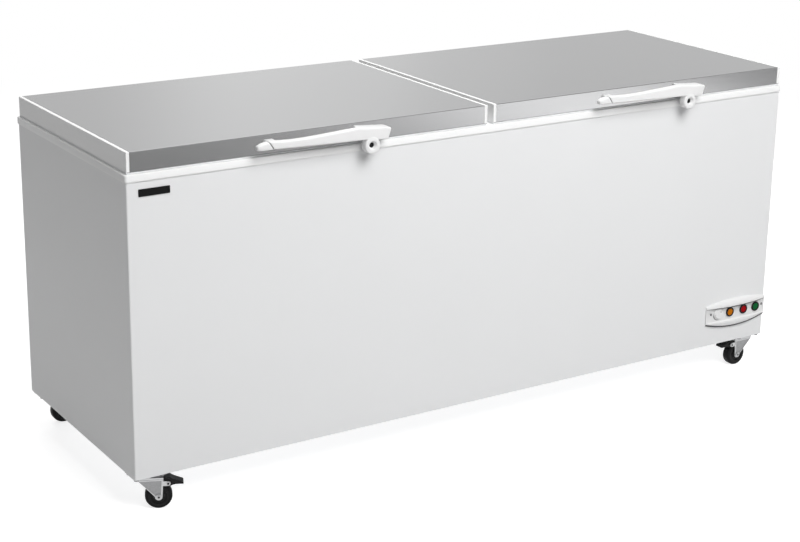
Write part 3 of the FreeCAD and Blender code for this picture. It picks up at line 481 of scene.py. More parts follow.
# Lid handles: a hollow-backed lever with a nose cap, a mounting block and the boss of the lock
handle = {
    "face": -362.85, "base": 842.0,
    # along the lid, low edge, high edge, front set back, back set back, lean of the section
    "body": ((-142.6, 17.4, 36.4, 0.0, 16.6, 13.0), (-141.0, 17.4, 37.2, 0.0, 17.0, 13.0),
             (-136.0, 17.3, 37.6, 0.0, 17.0, 11.0), (-128.0, 17.0, 37.0, 0.0, 17.0, 8.0),
             (-112.0, 16.5, 35.5, 0.0, 17.0, 3.0), (-85.0, 15.5, 34.3, 0.0, 17.0, 0.0),
             (-50.0, 14.4, 34.8, 0.0, 17.0, 0.0), (-19.0, 13.4, 36.0, 0.0, 17.0, 0.0),
             (20.0, 12.3, 38.0, 0.0, 17.0, 0.0), (57.0, 11.4, 40.0, 0.0, 17.0, 0.0),
             (84.0, 10.8, 41.4, 0.0, 17.0, 0.0), (92.0, 10.6, 41.6, 0.0, 17.0, 0.0),
             (97.0, 10.4, 41.6, 0.0, 37.9, 0.0), (106.0, 10.0, 40.6, 0.0, 37.9, 0.0),
             (125.0, 8.4, 39.0, 0.0, 37.9, 0.0), (150.0, 6.6, 37.0, 0.2, 37.9, -2.0),
             (165.0, 5.2, 35.8, 0.6, 37.9, -5.0), (174.0, 4.6, 34.8, 1.6, 37.9, -8.0),
             (180.0, 5.2, 33.0, 3.2, 37.9, -9.0), (183.0, 6.8, 30.4, 5.6, 37.0, -9.0)),
    "nose": ((-179.9, 20.6, 26.4, 4.5, 13.0, 0.0), (-179.0, 19.2, 28.0, 2.4, 15.0, 0.5),
             (-176.5, 18.2, 29.4, 0.9, 16.4, 2.0), (-170.0, 17.6, 31.4, 0.2, 17.0, 5.0),
             (-160.0, 17.3, 34.2, 0.0, 17.0, 10.0), (-145.0, 17.4, 36.4, 0.0, 17.0, 13.0)),
    "tongue": ((-150.0, 18.4, 34.4, 0.9, 15.4, 13.0), (-138.0, 18.4, 35.6, 0.9, 15.4, 13.0)),
    "foot": ((-147.0, 20.4, 34.6, 13.0, 37.9, 0.0), (-146.0, 19.4, 35.6, 11.0, 37.9, 0.0),
             (-125.2, 19.0, 35.6, 11.0, 37.9, 0.0), (-124.2, 20.0, 34.6, 13.0, 37.9, 0.0)),
    "hollow": (-125.0, 90.0, 0.4, 2.0, 4.0, 14.4),  # painted shade: a dark strip along the underside, standing for the shade in the bar's hollow back
    "round": (4.0, 2.6), "bossAt": (131.0, -0.8, -5.0), "bossSteps": 72,
    # radius and depth from the boss's face: bore, dish, rim of the face, side
    "boss": ((6.6, 19.8), (6.6, 6.8), (7.0, 6.4), (10.2, 1.0), (10.7, 0.35), (11.4, 0.1), (12.4, 0.0),
             (18.6, 0.0), (19.8, 0.4), (20.6, 1.2), (21.0, 2.6), (21.0, 19.8)),
    "mould": {"voxel": 1.0, "smooth": 4, "keep": 0.3}, "sharp": 40,
}


def handleRing(lidX, station):
    x, low, high, front, back, lean = station
    big, small = handle["round"]
    line = roundedOutline(handle["face"] + front, handle["face"] + back, handle["base"] + low,
                          handle["base"] + high, (small, big, big, small), 6)
    middle = handle["base"] + (low + high) / 2
    half = (high - low) / 2
    return [(lidX + x - lean * 0.5 * (z - middle) / half, y, z) for y, z in line]


def moulded(thing, voxel, smooth, keep):  # shells run together with soft inside corners, as one moulding
    mat = thing.data.materials[0]
    fuse = thing.modifiers.new("fuse", "REMESH")
    fuse.mode = "VOXEL"
    fuse.voxel_size = voxel * mm
    calm = thing.modifiers.new("calm", "SMOOTH")
    calm.factor = 0.5
    calm.iterations = smooth
    thin = thing.modifiers.new("thin", "DECIMATE")
    thin.ratio = keep
    plain(thing)
    thing.data.materials.clear()
    thing.data.materials.append(mat)
    settle(thing.data, handle["sharp"])


def handleShell(lidX, stations, slot=0):
    return loft([handleRing(lidX, s) for s in stations], slot)


def makeHandle(side):
    lidX = lidAt[side]
    body = makePiece(side + "HandleBody", [handleShell(lidX, handle[k]) for k in ("body", "foot")],
                     [looks["handle_white"]])
    moulded(body, **handle["mould"])
    standFor(body, side + "_lid_handle")
    body.visible_glossy = False  # the brushed steel doesn't mirror the bar
    nose = handleShell(lidX, handle["nose"])
    tongue = handleShell(lidX, handle["tongue"], 1)
    # painted shade under the bar: a thin dark strip in place of the shaded hollow
    start, end, out, deep, front, back = handle["hollow"]
    hollow = handleShell(lidX, [(s[0], s[1] - out, s[1] + deep, front, back, 0) for s in handle["body"]
                                if start < s[0] < end], 1)
    dx, dy, dz = handle["bossAt"]
    at = (lidX + dx, handle["face"] + dy, handle["base"] + dz)
    boss = turned(handle["boss"], handle["bossSteps"], at, tube=True)
    trim = makePiece(side + "HandleTrim", [nose, tongue, hollow, boss], [looks["handle_white"], seamGrey],
                     handle["sharp"])
    addTo(trim, side + "_lid")
    trim.visible_glossy = False


for side in lidAt:
    makeHandle(side)

# Key cylinders: a turned barrel with a key slot in its face, and the cam behind the boss
lock = {"radius": 6.45, "face": -356.85, "slot": (1.4, 7.6, 2.4), "length": 19.4, "steps": 48,
        "chamfer": (0.93, 0.5), "cam": (3.5, 13.0, -341.35, -337.35), "camRound": (1.5, 1.5, 3.0, 3.0)}


def makeLock(side):
    x = lidAt[side] + handle["bossAt"][0]
    z = handle["base"] + handle["bossAt"][2]
    r, face = lock["radius"], lock["face"]
    wide, tall, deep = lock["slot"]
    angles = [2 * math.pi * k / lock["steps"] for k in range(lock["steps"])]
    rim = [(x + r * math.cos(a), z + r * math.sin(a)) for a in angles]
    inner = []
    for u, v in rim:  # the slot's edge, point for point with the rim
        a = math.atan2(v - z, u - x)
        k = min(wide / 2 / max(abs(math.cos(a)), 1e-6), tall / 2 / max(abs(math.sin(a)), 1e-6))
        inner.append((x + k * math.cos(a), z + k * math.sin(a)))
    shrink, back = lock["chamfer"]
    chamfer = [(x + (u - x) * shrink, z + (v - z) * shrink) for u, v in rim]
    rings = [[(u, face + y, v) for u, v in line] for line, y in
             ((rim, lock["length"]), (rim, back), (chamfer, 0), (inner, 0), (inner, deep))]
    half, reach, y0, y1 = lock["cam"]
    outline = roundedOutline(x - half, x + half, z - reach, z + half, lock["camRound"], 3)
    cam = plateOf(outline, y0, y1)
    piece = makePiece(side + "KeyBarrel", [loft(rings), cam], [looks["lock_black"]])
    standFor(piece, side + "_lock_cylinder")


for side in lidAt:
    makeLock(side)
print("handles and locks made")


# Control panel: a plate with a bowed visor along its top and a bowed lip along its bottom, with painted
# shadow lines in dark grey under the lip and along the visor's lower edge
panel = {"x": (775.0, 998.0), "front": -327.35, "low": (155.0, 139.0), "high": (212.0, 223.0), "plate": 4.0,
         "visor": (5.0, 15.0), "visorLow": (203.5, 201.0), "lip": (5.0, 9.0), "lipHigh": (162.0, 160.0),
         "steps": 64, "knobHole": (821.0, 185.0, 3.5), "lipShadowBand": 4.2, "visorShadowBand": (1.2, 2.8),
         "shadowBands": (1, 12), "sharp": 30}


def panelSection(x):
    x0, x1 = panel["x"]
    s = (2 * x - x0 - x1) / (x1 - x0)
    low, high, visor, under, lip, lipTop, shadowBand = (a + (b - a) * (1 - s * s) for a, b in (
        panel[k] for k in ("low", "high", "visor", "visorLow", "lip", "lipHigh", "visorShadowBand")))
    # the lip's painted shadow line runs from low up to edge
    face, edge = panel["plate"], low + panel["lipShadowBand"]
    h, v = lipTop - edge, high - under - shadowBand
    line = ((0, low), (lip * 0.55, low), (lip * 0.66, edge), (lip * 0.86, edge + 0.2 * h),
            (lip, edge + 0.55 * h), (lip, edge + 0.82 * h), (lip - 0.5, lipTop - 0.3),
            (face + 0.5, lipTop + 1.2), (face, lipTop + 2.0), (face, under - 0.9), (face + 0.4, under - 0.2),
            (visor - 0.9, under), (visor - 0.35, under + 0.25), (visor - 0.2, under + shadowBand),
            (visor, under + shadowBand + 0.4), (visor * 0.98, under + shadowBand + 0.3 * v),
            (visor * 0.88, under + shadowBand + 0.62 * v), (visor * 0.66, under + shadowBand + 0.86 * v),
            (visor * 0.4, high - 0.25), (visor * 0.2, high), (0, high))
    return [(x, panel["front"] - out, z) for out, z in line]


def makePanel():
    x0, x1 = panel["x"]
    at = [x0 + (x1 - x0) * k / panel["steps"] for k in range(panel["steps"] + 1)]
    points, sides = loft([panelSection(x) for x in at])[:2]
    n = len(panelSection(x0))
    # painted shadow: faces of sections 1 and 12 of each ring, under the lip and along the visor's lower edge,
    # get the dark grey
    marks = [1 if k % n in panel["shadowBands"] and k < n * panel["steps"] else 0 for k in range(len(sides))]
    thing = makePiece("controlPanel", [(points, sides, marks)], [looks["panel_white"], seamGrey],
                      panel["sharp"])
    x, z, r = panel["knobHole"]
    bored(thing, [drill(r, 10, (x, panel["front"], z))])
    thing.data.set_sharp_from_angle(angle=math.radians(panel["sharp"]))
    standFor(thing, "control_panel")


makePanel()

# Lamps: a thick black ring round a low coloured lens
lamp = {"z": 184.0, "face": -331.35, "at": {"amber": 865.0, "red": 917.0, "green": 963.5},
        "ring": ((10.2, 0), (10.2, -3.2), (10.7, -3.8), (11.6, -4.0), (12.6, -3.9), (13.6, -3.2),
                 (14.1, -2.2), (14.2, 0)),
        "lens": ((0, -3.5), (3.0, -3.45), (6.0, -3.3), (8.4, -3.05), (9.5, -2.6), (10.05, -1.8),
                 (10.1, 17.8), (0, 17.8)), "steps": 56}


def makeLamps():
    shell = turned(lamp["ring"], lamp["steps"], (0, 0, 0), tube=True)
    ring = makePiece("lampRing", [shell], [looks["black_plastic"]])
    rings = copies("lampRings", ring, [(x, lamp["face"], lamp["z"]) for x in lamp["at"].values()])
    standFor(rings, "lamp_bezels")
    for colour, x in lamp["at"].items():
        shell = turned(lamp["lens"], lamp["steps"], (x, lamp["face"], lamp["z"]))
        standFor(makePiece(colour + "Lens", [shell], [looks[colour + "_lens"]]), colour + "_lamp")


makeLamps()

# Thermostat knob: a low disc with a finger edge and a dark mark, on its spindle, and a dark crescent of
# painted shade on the panel beside it
knob = {"x": 821.0, "z": 185.0, "back": -331.85, "steps": 64, "markAt": (5.88, 5.88), "markSteps": 20,
        "mark": ((0, -4.8), (1.5, -4.8), (1.5, -4.4), (0, -4.4)),
        "line": ((0, -4.6), (10.6, -4.7), (12.4, -5.0), (13.1, -4.8), (13.5, -4.2), (13.6, -2.4),
                 (14.2, -2.0), (16.4, -1.9), (17.0, -1.4), (17.0, 0), (3.0, 0), (3.0, 22.5), (0, 22.5)),
        # a crescent of painted shade beside it, round the knob's lower left: radius, least and added width,
        # start and end in degrees, height, steps
        "shadeCrescent": (17.6, 0.05, 1.8, 165, 275, 0.15, 32)}


def makeKnob():
    x, y, z = knob["x"], knob["back"], knob["z"]
    dx, dz = knob["markAt"]
    mark = turned(knob["mark"], knob["markSteps"], (x + dx, y, z + dz), slot=1)
    thing = makePiece("thermostatDisc", [turned(knob["line"], knob["steps"], (x, y, z)), mark],
                      [looks["panel_white"], markGrey])
    standFor(thing, "thermostat_knob")
    # painted shade: a thin dark crescent on the panel, round the knob's lower left
    r, least, added, start, end, proud, steps = knob["shadeCrescent"]
    face = panel["front"] - panel["plate"]
    strip = []
    for k in range(steps + 1):
        a = math.radians(start + (end - start) * k / steps)
        wide = r + least + added * math.sin(math.pi * k / steps)
        strip.append([(x + out * math.cos(a), face - up, z + out * math.sin(a))
                      for out, up in ((r, 0), (wide, 0), (wide, proud), (r, proud))])
    addTo(makePiece("knobScale", [loft(strip)], [markGrey]), "cabinet")


makeKnob()

# Blank badge plate with a thin raised border
badge = {"x": (-970.0, -892.0), "z": (783.0, 800.5), "back": -327.35, "round": 1.2,
         # set in from the edge, and out from the cabinet
         "line": ((0, 0), (0, 1.7), (0.3, 2.0), (0.9, 2.0), (1.1, 1.65))}


def makeBadge():
    (x0, x1), (z0, z1) = badge["x"], badge["z"]
    rings = []
    for inset, out in badge["line"]:
        line = roundedOutline(x0 + inset, x1 - inset, z0 + inset, z1 - inset, badge["round"], 4)
        rings.append([(x, badge["back"] - out, z) for x, z in line])
    thing = makePiece("badgePlate", [loft(rings)], [badgeBlack], 25)
    standFor(thing, "badge_plate")


makeBadge()

# Screws of the panel and of the rear grille, one mesh
cover = {"front": [(x, -331.35, 187.0) for x in (793.0, 988.5)],
         "back": [(x, 339.65, z) for x in (718.0, 952.0) for z in (140.0, 344.0)]}
frontHeads = copies("panelScrews", screwShape("frontScrew", -1), cover["front"])
backHeads = copies("grilleScrews", screwShape("backScrew", 1), cover["back"])
standFor(joinMeshes("coverScrewHeads", [frontHeads, backHeads]), "cover_screws")
print("control panel, lamps, knob, badge and screws made")


# Castors: swivel place and the turn of each about it; sizes are from the swivel, along the trail
castor = {"places": {"front_left": (-958.0, -293.35, -24.0), "front_right": (958.0, -293.35, 180.0),
                     "rear_left": (-958.0, 303.65, 0.0), "rear_right": (958.0, 303.65, 180.0)},
          "trail": 30.0, "axle": 33.0, "bore": ((4.1, -11.7), (4.1, 11.7)), "steps": 72,
          "side": ((33.0, 6.0), (32.9, 7.4), (32.0, 9.6), (30.4, 11.1), (28.2, 11.9), (26.6, 12.0),
                   (26.2, 11.5), (25.6, 11.5), (25.2, 12.0)),
          "disc": ((25.2, 12.0), (21.6, 12.0), (20.8, 11.6), (20.2, 8.6), (19.6, 8.2), (14.0, 8.2),
                   (13.4, 8.6), (12.9, 11.6), (12.2, 12.0), (6.0, 12.0), (5.2, 11.7), (4.1, 11.7))}


def mirrored(profile, way):  # the profile, or with way at -1 its mirror image along the axis
    return [(r, a * way) for r, a in profile]


def steered(shell, corner):  # from the swivel's own place to that of a corner
    x, y, turn = castor["places"][corner]
    c, s = math.cos(math.radians(turn)), math.sin(math.radians(turn))
    points, sides, slot = shell
    return [(x + p[0] * c - p[1] * s, y + p[0] * s + p[1] * c, p[2]) for p in points], sides, slot


def makeWheel(corner):
    at, steps = (castor["trail"], 0, castor["axle"]), castor["steps"]
    tread = mirrored(reversed(castor["side"]), -1) + list(castor["side"])
    shells = [openTurned(tread, steps, at)]
    shells += [openTurned(mirrored(castor["disc"], way), steps, at, 1) for way in (-1, 1)]
    shells.append(openTurned(castor["bore"], steps, at, 1))
    thing = makePiece("castorWheel_" + corner, [steered(s, corner) for s in shells],
                      [looks["castor_tyre"], hubGrey], 28)
    standFor(thing, "castor_wheel_" + corner)


for corner in castorCorners:
    makeWheel(corner)

# Forks: folded edges eased, a raised border round a pressed field on each cheek, the field in a darker zinc
# as painted shade, and riveted ends
fork = {"outside": 16.1, "cheekTop": 78.6, "x": (-22.0, 42.0), "foot": 9.0, "inset": 1.0, "border": 3.2,
        "footSteps": 14, "slope": 0.3, "rise": 1.0, "field": 0.2, "ease": 0.6,
        "head": ((2.7, 0.9), (2.9, 1.6), (3.6, 1.9), (4.6, 1.7), (5.2, 1.0), (5.3, 0)),
        "centre": ((0, 0.9), (2.7, 0.9)), "headSteps": 36, "axleOut": 2.5, "pivot": (53.0, 66.5)}
# the castor zinc at about half its tone: painted shade and a duller reflection on the pressed fields
fieldZinc = finish("fieldZinc", (0.27, 0.272, 0.276, 1), rough=0.4, metal=1.0, drift=0.1, cells=230,
                   cellDrift=0.55, grain=1500, relief=0.05)


def cheekLine(inset):  # the cheek's outline, set in by some millimetres
    x0, x1 = fork["x"]
    steps = fork["footSteps"]
    foot, trail, axle = fork["foot"] - inset, castor["trail"], castor["axle"]
    high = fork["cheekTop"] - inset
    line = [(x0 + inset * 1.6, high), (x1 - inset * 1.1, high)]  # the two sides slope, so they move in more
    for k in range(steps + 1):
        a = -math.pi * k / steps
        line.append((trail + foot * math.cos(a), axle + foot * math.sin(a)))
    return line


def pressedBorder(way):
    out, slope = fork["inset"], fork["slope"]
    low, high = fork["outside"], fork["outside"] + fork["rise"]
    rings = []
    for inset, y in ((out, low), (out + slope, high), (out - slope + fork["border"], high),
                     (out + fork["border"], low)):
        rings.append([(x, y * way, z) for x, z in cheekLine(inset)])
    return loft(rings, closed=True)


def rivetEnd(way, x, z, out):
    at = (x, (fork["outside"] + out) * way, z)
    steps = fork["headSteps"]
    ring = openTurned(mirrored(fork["head"], way), steps, at)
    return ring, turned(mirrored(fork["centre"], way), steps, at, slot=1)


def makeFork(corner):
    node = "castor_fork_" + corner
    standFor(softCopy(node, fork["ease"], 40), node)
    ends = [(castor["trail"], castor["axle"], fork["axleOut"])]
    if "front" in corner:  # the pivot of the brake pedal
        ends.append(fork["pivot"] + (0,))
    shells = []
    for way in (-1, 1):
        shells.append(pressedBorder(way))
        # the pressed field: a thin plate in the darker zinc, painted shade
        y0, y1 = sorted((fork["outside"] * way, (fork["outside"] + fork["field"]) * way))
        shells.append(plateOf(cheekLine(fork["inset"] + fork["border"]), y0, y1, 2))
        for end in ends:
            shells += rivetEnd(way, *end)
    trim = makePiece("forkTrim_" + corner, [steered(s, corner) for s in shells],
                     [looks["castor_zinc"], seamGrey, fieldZinc], 35)
    addTo(trim, bodyOf[node])


for corner in castorCorners:
    makeFork(corner)

# Brake pedals: a lever with a crest over its pivot, thin towards the toe, with ribs across the tread
pedal = {"half": 13.0, "ease": 1.2, "bore": 2.56,
         "line": ((41.0, 76.6), (41.4, 77.5), (48.0, 80.0), (54.0, 81.9), (56.2, 82.0), (59.0, 80.6),
                  (64.0, 77.4), (70.0, 74.4), (78.0, 71.2), (86.0, 68.2), (89.0, 66.6), (89.8, 65.8),
                  (89.8, 63.2), (89.0, 62.4), (80.0, 62.6), (71.0, 62.4), (66.0, 61.6), (62.2, 60.3),
                  (60.4, 59.3), (57.4, 58.4), (56.3, 58.7), (52.2, 62.6), (48.0, 66.5)),
         "ribs": ((72.0, 73.3), (76.5, 71.5), (81.0, 69.8), (85.5, 68.1)),
         "rib": (1.5, 10.5, 0.35, 0.8, 0.38)}  # width, half length, rise, depth, slope across


def makePedal(corner):
    node = "brake_pedal_" + corner
    shell = plateOf(pedal["line"], -pedal["half"], pedal["half"])
    thing = makePiece("brakePedal_" + corner, [steered(shell, corner)], [looks["black_plastic"]], 30)
    x, z = fork["pivot"]
    bored(thing, [steered(drill(pedal["bore"], 20, (x, 0, z)), corner)])
    eased(thing, pedal["ease"], 3, 50)
    standFor(thing, node)
    wide, half, rise, deep, slope = pedal["rib"]
    section = ((0, -deep), (wide, -deep), (wide * 0.7, rise), (wide * 0.3, rise))
    ribs = []
    for x, z in pedal["ribs"]:
        rings = [[(x - wide / 2 + dx, y, z + dx * slope + dz) for dx, dz in section] for y in (-half, half)]
        ribs.append(steered(loft(rings), corner))
    tread = makePiece("pedalRibs_" + corner, ribs, [looks["black_plastic"]], 30)
    addTo(tread, bodyOf[node])


for corner in castorCorners[:2]:
    makePedal(corner)

# Castor bolts: hexagon heads under the plates
bolt = {"apart": (33.0, 21.0), "low": 84.5, "head": 4.5, "radius": 6.5, "edge": (0.9, 0.5), "shank": 4.0,
        "top": 93.5}


def boltShape():
    shrink, up = bolt["edge"]
    hexes = []
    for grow, z in ((shrink, 0), (1.0, up), (1.0, bolt["head"])):
        r = bolt["radius"] * grow
        hexes.append([(r * math.cos(math.pi * k / 3), r * math.sin(math.pi * k / 3), z) for k in range(6)])
    line = ((bolt["shank"], bolt["head"] - 0.2), (bolt["shank"], bolt["top"] - bolt["low"]))
    return makePiece("boltShape", [loft(hexes), turned(line, 24, (0, 0, 0), "z")], [looks["screw_steel"]])


def boltPlaces():
    dx, dy = bolt["apart"]
    return [(x + a, y + b, bolt["low"]) for x, y, turn in castor["places"].values()
            for a in (-dx, dx) for b in (-dy, dy)]


bolts = copies("castorBolts", boltShape(), boltPlaces())
standFor(bolts, "castor_bolts")
print("castors made")


# Top rim: one folded profile round the cabinet's mouth, with a thin seal under its outer edge
rim = {"x": (-1003.0, 1003.0), "y": (-330.35, 340.65), "low": 820.0, "top": 837.0, "under": 834.0,
       "round": 7.0, "mouth": 69.0, "mouthRound": 17.0, "sheet": 4.0,
       "seal": ((1.3, 818.4), (1.3, 820.05), (4.0, 820.05), (4.0, 818.4))}


def rimRing(inset, z):
    (x0, x1), (y0, y1) = rim["x"], rim["y"]
    radius = rim["round"] - inset if inset < 5 else rim["mouthRound"]
    line = roundedOutline(x0 + inset, x1 - inset, y0 + inset, y1 - inset, max(0.6, radius), 6)
    return [(x, y, z) for x, y in line]


def makeRim():
    low, top, under, mouth, sheet = (rim[k] for k in ("low", "top", "under", "mouth", "sheet"))
    profile = ((0.35, low), (0, low + 0.4), (0, top - 1.6), (0.45, top - 0.5), (1.6, top), (mouth - 1.4, top),
               (mouth - 0.4, top - 0.4), (mouth, top - 1.2), (mouth, under), (sheet, under), (sheet, low))
    thing = makePiece("topRim", [loft([rimRing(*p) for p in profile], closed=True)], [looks["rim_white"]], 30)
    standFor(thing, "top_rim")
    seal = makePiece("rimSeal", [loft([rimRing(*p) for p in rim["seal"]], closed=True)], [looks["rim_white"]])
    addTo(seal, "cabinet")


makeRim()

# A dark seam along the low edge of each lid's front fold, where the steel meets the white inner panel
seam = {"half": 492.5, "y": (-325.0, -323.2), "z": (841.2, 842.4), "ease": 0.2}
for side, x in lidAt.items():
    shell = boxShell(x - seam["half"], x + seam["half"], *seam["y"], *seam["z"])
    thing = eased(makePiece(side + "LidSeam", [shell], [looks["gasket_grey"]]), seam["ease"])
    addTo(thing, side + "_lid")

# Nodes kept in shape, with the edges eased that folding, moulding or casting leaves round
easing = {
    "left_lid_end_caps": 0.8, "right_lid_end_caps": 0.8, "left_lid_inner_panel": 0.8,
    "right_lid_inner_panel": 0.8, "centre_mullion": 1.2, "rear_grille": 0.5, "hinge_brackets": 0.5,
    "left_lid_hinge_arms": 0.5, "right_lid_hinge_arms": 0.5, "lock_keepers": 0.4, "castor_plates": 0.6,
    "cord_gland": 1.0, "thermostat_body": 1.0, "compressor_feet": 1.5, "fan_motor": 0.6,
}
for node, width in easing.items():
    standFor(softCopy(node, width, 35), node)
print("rim made and", len(easing), "nodes eased")


# Vent louvres of the right side: a pressed hood over each slot
louvre = {"x": 1000.0, "y": -137.35, "half": 78.0, "low": 132.0, "pitch": 22.0, "count": 9, "height": 10.5,
          "out": 2.6, "thick": 0.8,
          # share of the half length, share of the full reach
          "stations": ((1.0, 0.02), (0.985, 0.45), (0.95, 0.8), (0.9, 0.96), (0.8, 1.0), (0.0, 1.0))}


def hoodShape():
    left = [(-s, k) for s, k in louvre["stations"]]
    right = louvre["stations"][-2::-1]
    high, thick = louvre["height"], louvre["thick"]
    rings = []
    for s, k in left + list(right):
        out = louvre["out"] * k
        line = ((0.0, high), (out * 0.45, high * 0.78), (out * 0.8, high * 0.48), (out, 0.8), (out, -0.2),
                (max(out - thick, 0.0), -0.2), (max(out * 0.8 - thick, -0.1), high * 0.45),
                (-0.2, high * 0.8))
        rings.append([(x, s * louvre["half"], z) for x, z in line])
    return makePiece("hoodShape", [loft(rings)], [looks["white_paint"]])


hoodPlaces = [(louvre["x"], louvre["y"], louvre["low"] + k * louvre["pitch"]) for k in range(louvre["count"])]
addTo(copies("sideLouvres", hoodShape(), hoodPlaces), "cabinet")

# Hinge plate screws, and the rivets of the back panel, none of them behind a hinge
hinge = {"at": [x + a for x in lidAt.values() for a in (-300.0, 300.0)], "screwOut": (-32.0, 32.0),
         "screwHigh": (732.0, 804.0), "back": 340.65, "half": 50.0, "low": 700.0}
plateScrews = [(x + a, hinge["back"], z) for x in hinge["at"]
               for a in hinge["screwOut"] for z in hinge["screwHigh"]]
hingeScrews = copies("hingeScrews", screwShape("hingeScrew", 1), plateScrews)
addTo(hingeScrews, "cabinet")

rivet = {"line": ((0, 1.1), (1.2, 1.0), (2.2, 0.65), (2.8, 0.1), (2.8, -0.4), (0, -0.4)), "steps": 20,
         "back": 337.65, "end": 985.0, "pitch": 197.0, "count": 11, "rows": (104.0, 806.0),
         "sides": (280.0, 455.0, 630.0)}


def rivetPlaces():
    along = [-rivet["end"] + rivet["pitch"] * k for k in range(rivet["count"])]
    places = [(x, z) for x in along for z in rivet["rows"]]
    places += [(x, z) for x in (-rivet["end"], rivet["end"]) for z in rivet["sides"]]
    return [(x, rivet["back"], z) for x, z in places
            if z <= hinge["low"] or all(abs(x - at) >= hinge["half"] for at in hinge["at"])]


rivetShell = turned(rivet["line"], rivet["steps"], (0, 0, 0))
rivetShape = makePiece("rivetShape", [rivetShell], [looks["white_paint"]])
addTo(copies("backRivets", rivetShape, rivetPlaces()), "cabinet")

# Condenser: thin fins on a pack of tubes between two header sheets
pack = {"x": (933.0, 987.0), "y": (-267.35, -7.35), "z": (93.5, 333.5), "fins": 66, "fin": 0.35,
        "finInset": 1.0, "waves": 24, "waveHigh": 0.5, "endGap": 4.0, "header": 2.0, "rows": 6, "tube": 5.0}


def makeCondenser():
    (x0, x1), (y0, y1), (z0, z1) = (pack[k] for k in ("x", "y", "z"))
    thick, inset, gap = pack["fin"], pack["finInset"], pack["endGap"]
    low, high = z0 + inset, z1 - inset
    rings = []
    for k in range(pack["waves"] + 1):  # a fin is pressed in shallow waves
        x = x0 + inset + (x1 - x0 - 2 * inset) * k / pack["waves"]
        y = pack["waveHigh"] * math.sin(k * math.pi / 3)
        rings.append([(x, y, low), (x, y + thick, low), (x, y + thick, high), (x, y, high)])
    fin = makePiece("finShape", [loft(rings)], [looks["aluminium"]], 60)
    step = (y1 - y0 - 2 * gap) / (pack["fins"] - 1)
    places = [(0, y0 + gap + k * step, 0) for k in range(pack["fins"])]
    fins = copies("condenserFins", fin, places, 60)
    shells = []
    for y in (y0, y1 - pack["header"]):
        shells.append(plateOf(roundedOutline(x0, x1, z0, z1, 2.0, 3), y, y + pack["header"]))
    tube = ((pack["tube"], y0 + 0.5), (pack["tube"], y1 - 0.5))
    row = (z1 - z0) / pack["rows"]
    for k in range(pack["rows"]):
        shells.append(turned(tube, 20, ((x0 + x1) / 2, 0, z0 + (k + 0.5) * row)))
    frameWork = makePiece("condenserFrame", shells, [looks["aluminium"]], 40)
    standFor(joinMeshes("condenserPack", [fins, frameWork]), "condenser")


makeCondenser()
print("louvres, rivets, hinge screws and condenser made")


# Pale floor that goes on as white background, and keeps the shadow under the freezer
stage = {"reach": 30.0, "white": 0.5, "lift": 0.76, "fadeFrom": 1.6, "fadeTo": 4.5}


def anyRay(tree, at):  # 1 for camera, glossy and transmission rays
    path = addNode(tree, "ShaderNodeLightPath", at)
    first = addNode(tree, "ShaderNodeMath", (at[0] + 200, at[1]), operation="MAXIMUM")
    tree.links.new(path.outputs["Is Camera Ray"], first.inputs[0])
    tree.links.new(path.outputs["Is Glossy Ray"], first.inputs[1])
    second = addNode(tree, "ShaderNodeMath", (at[0] + 400, at[1]), operation="MAXIMUM")
    tree.links.new(first.outputs[0], second.inputs[0])
    tree.links.new(path.outputs["Is Transmission Ray"], second.inputs[1])
    return second.outputs[0]


def flatSheet(name, mat, corners):
    mesh = bpy.data.meshes.new(name)
    mesh.from_pydata(corners, [], [(0, 1, 2, 3)])
    mesh.materials.append(mat)
    thing = linked(name, mesh)
    return thing


def makeFloor():
    mat, tree = bareMaterial("floorWhite")
    join = tree.links.new
    out = addNode(tree, "ShaderNodeOutputMaterial", (1200, 0))
    matt = addNode(tree, "ShaderNodeBsdfDiffuse", (500, 100))
    glow = addNode(tree, "ShaderNodeEmission", (500, -100))
    both = addNode(tree, "ShaderNodeAddShader", (800, 0))
    coords = addNode(tree, "ShaderNodeTexCoord", (-900, -200))
    far = addNode(tree, "ShaderNodeVectorMath", (-700, -200), operation="LENGTH")
    fade = addNode(tree, "ShaderNodeMapRange", (-500, -200), {
        "From Min": stage["fadeFrom"], "From Max": stage["fadeTo"]}, interpolation_type="SMOOTHSTEP")
    join(coords.outputs["Object"], far.inputs[0])
    join(far.outputs["Value"], fade.inputs["Value"])
    seen = anyRay(tree, (-1100, 300))
    # how far it is plain background
    white = addNode(tree, "ShaderNodeMath", (-200, 100), operation="MULTIPLY")
    join(seen, white.inputs[0])
    join(fade.outputs["Result"], white.inputs[1])
    tone = (stage["white"],) * 3 + (1,)
    join(twoTone(tree, white.outputs[0], tone, (0, 0, 0, 1), (200, 200)), matt.inputs["Color"])
    lift = addNode(tree, "ShaderNodeMapRange", (0, -200), {"To Min": stage["lift"]})
    join(fade.outputs["Result"], lift.inputs["Value"])
    power = addNode(tree, "ShaderNodeMath", (250, -200), operation="MULTIPLY")
    join(lift.outputs["Result"], power.inputs[0])
    join(seen, power.inputs[1])
    join(power.outputs[0], glow.inputs["Strength"])
    join(matt.outputs[0], both.inputs[0])
    join(glow.outputs[0], both.inputs[1])
    below = addNode(tree, "ShaderNodeNewGeometry", (500, 400))
    clear = addNode(tree, "ShaderNodeBsdfTransparent", (800, -200))
    oneWay = addNode(tree, "ShaderNodeMixShader", (1000, 0))  # seen through from below, to show the underside
    join(below.outputs["Backfacing"], oneWay.inputs[0])
    join(both.outputs[0], oneWay.inputs[1])
    join(clear.outputs[0], oneWay.inputs[2])
    join(oneWay.outputs[0], out.inputs[0])
    r = stage["reach"]
    flatSheet("floor", mat, [(-r, -r, 0), (r, -r, 0), (r, r, 0), (-r, r, 0)])


makeFloor()

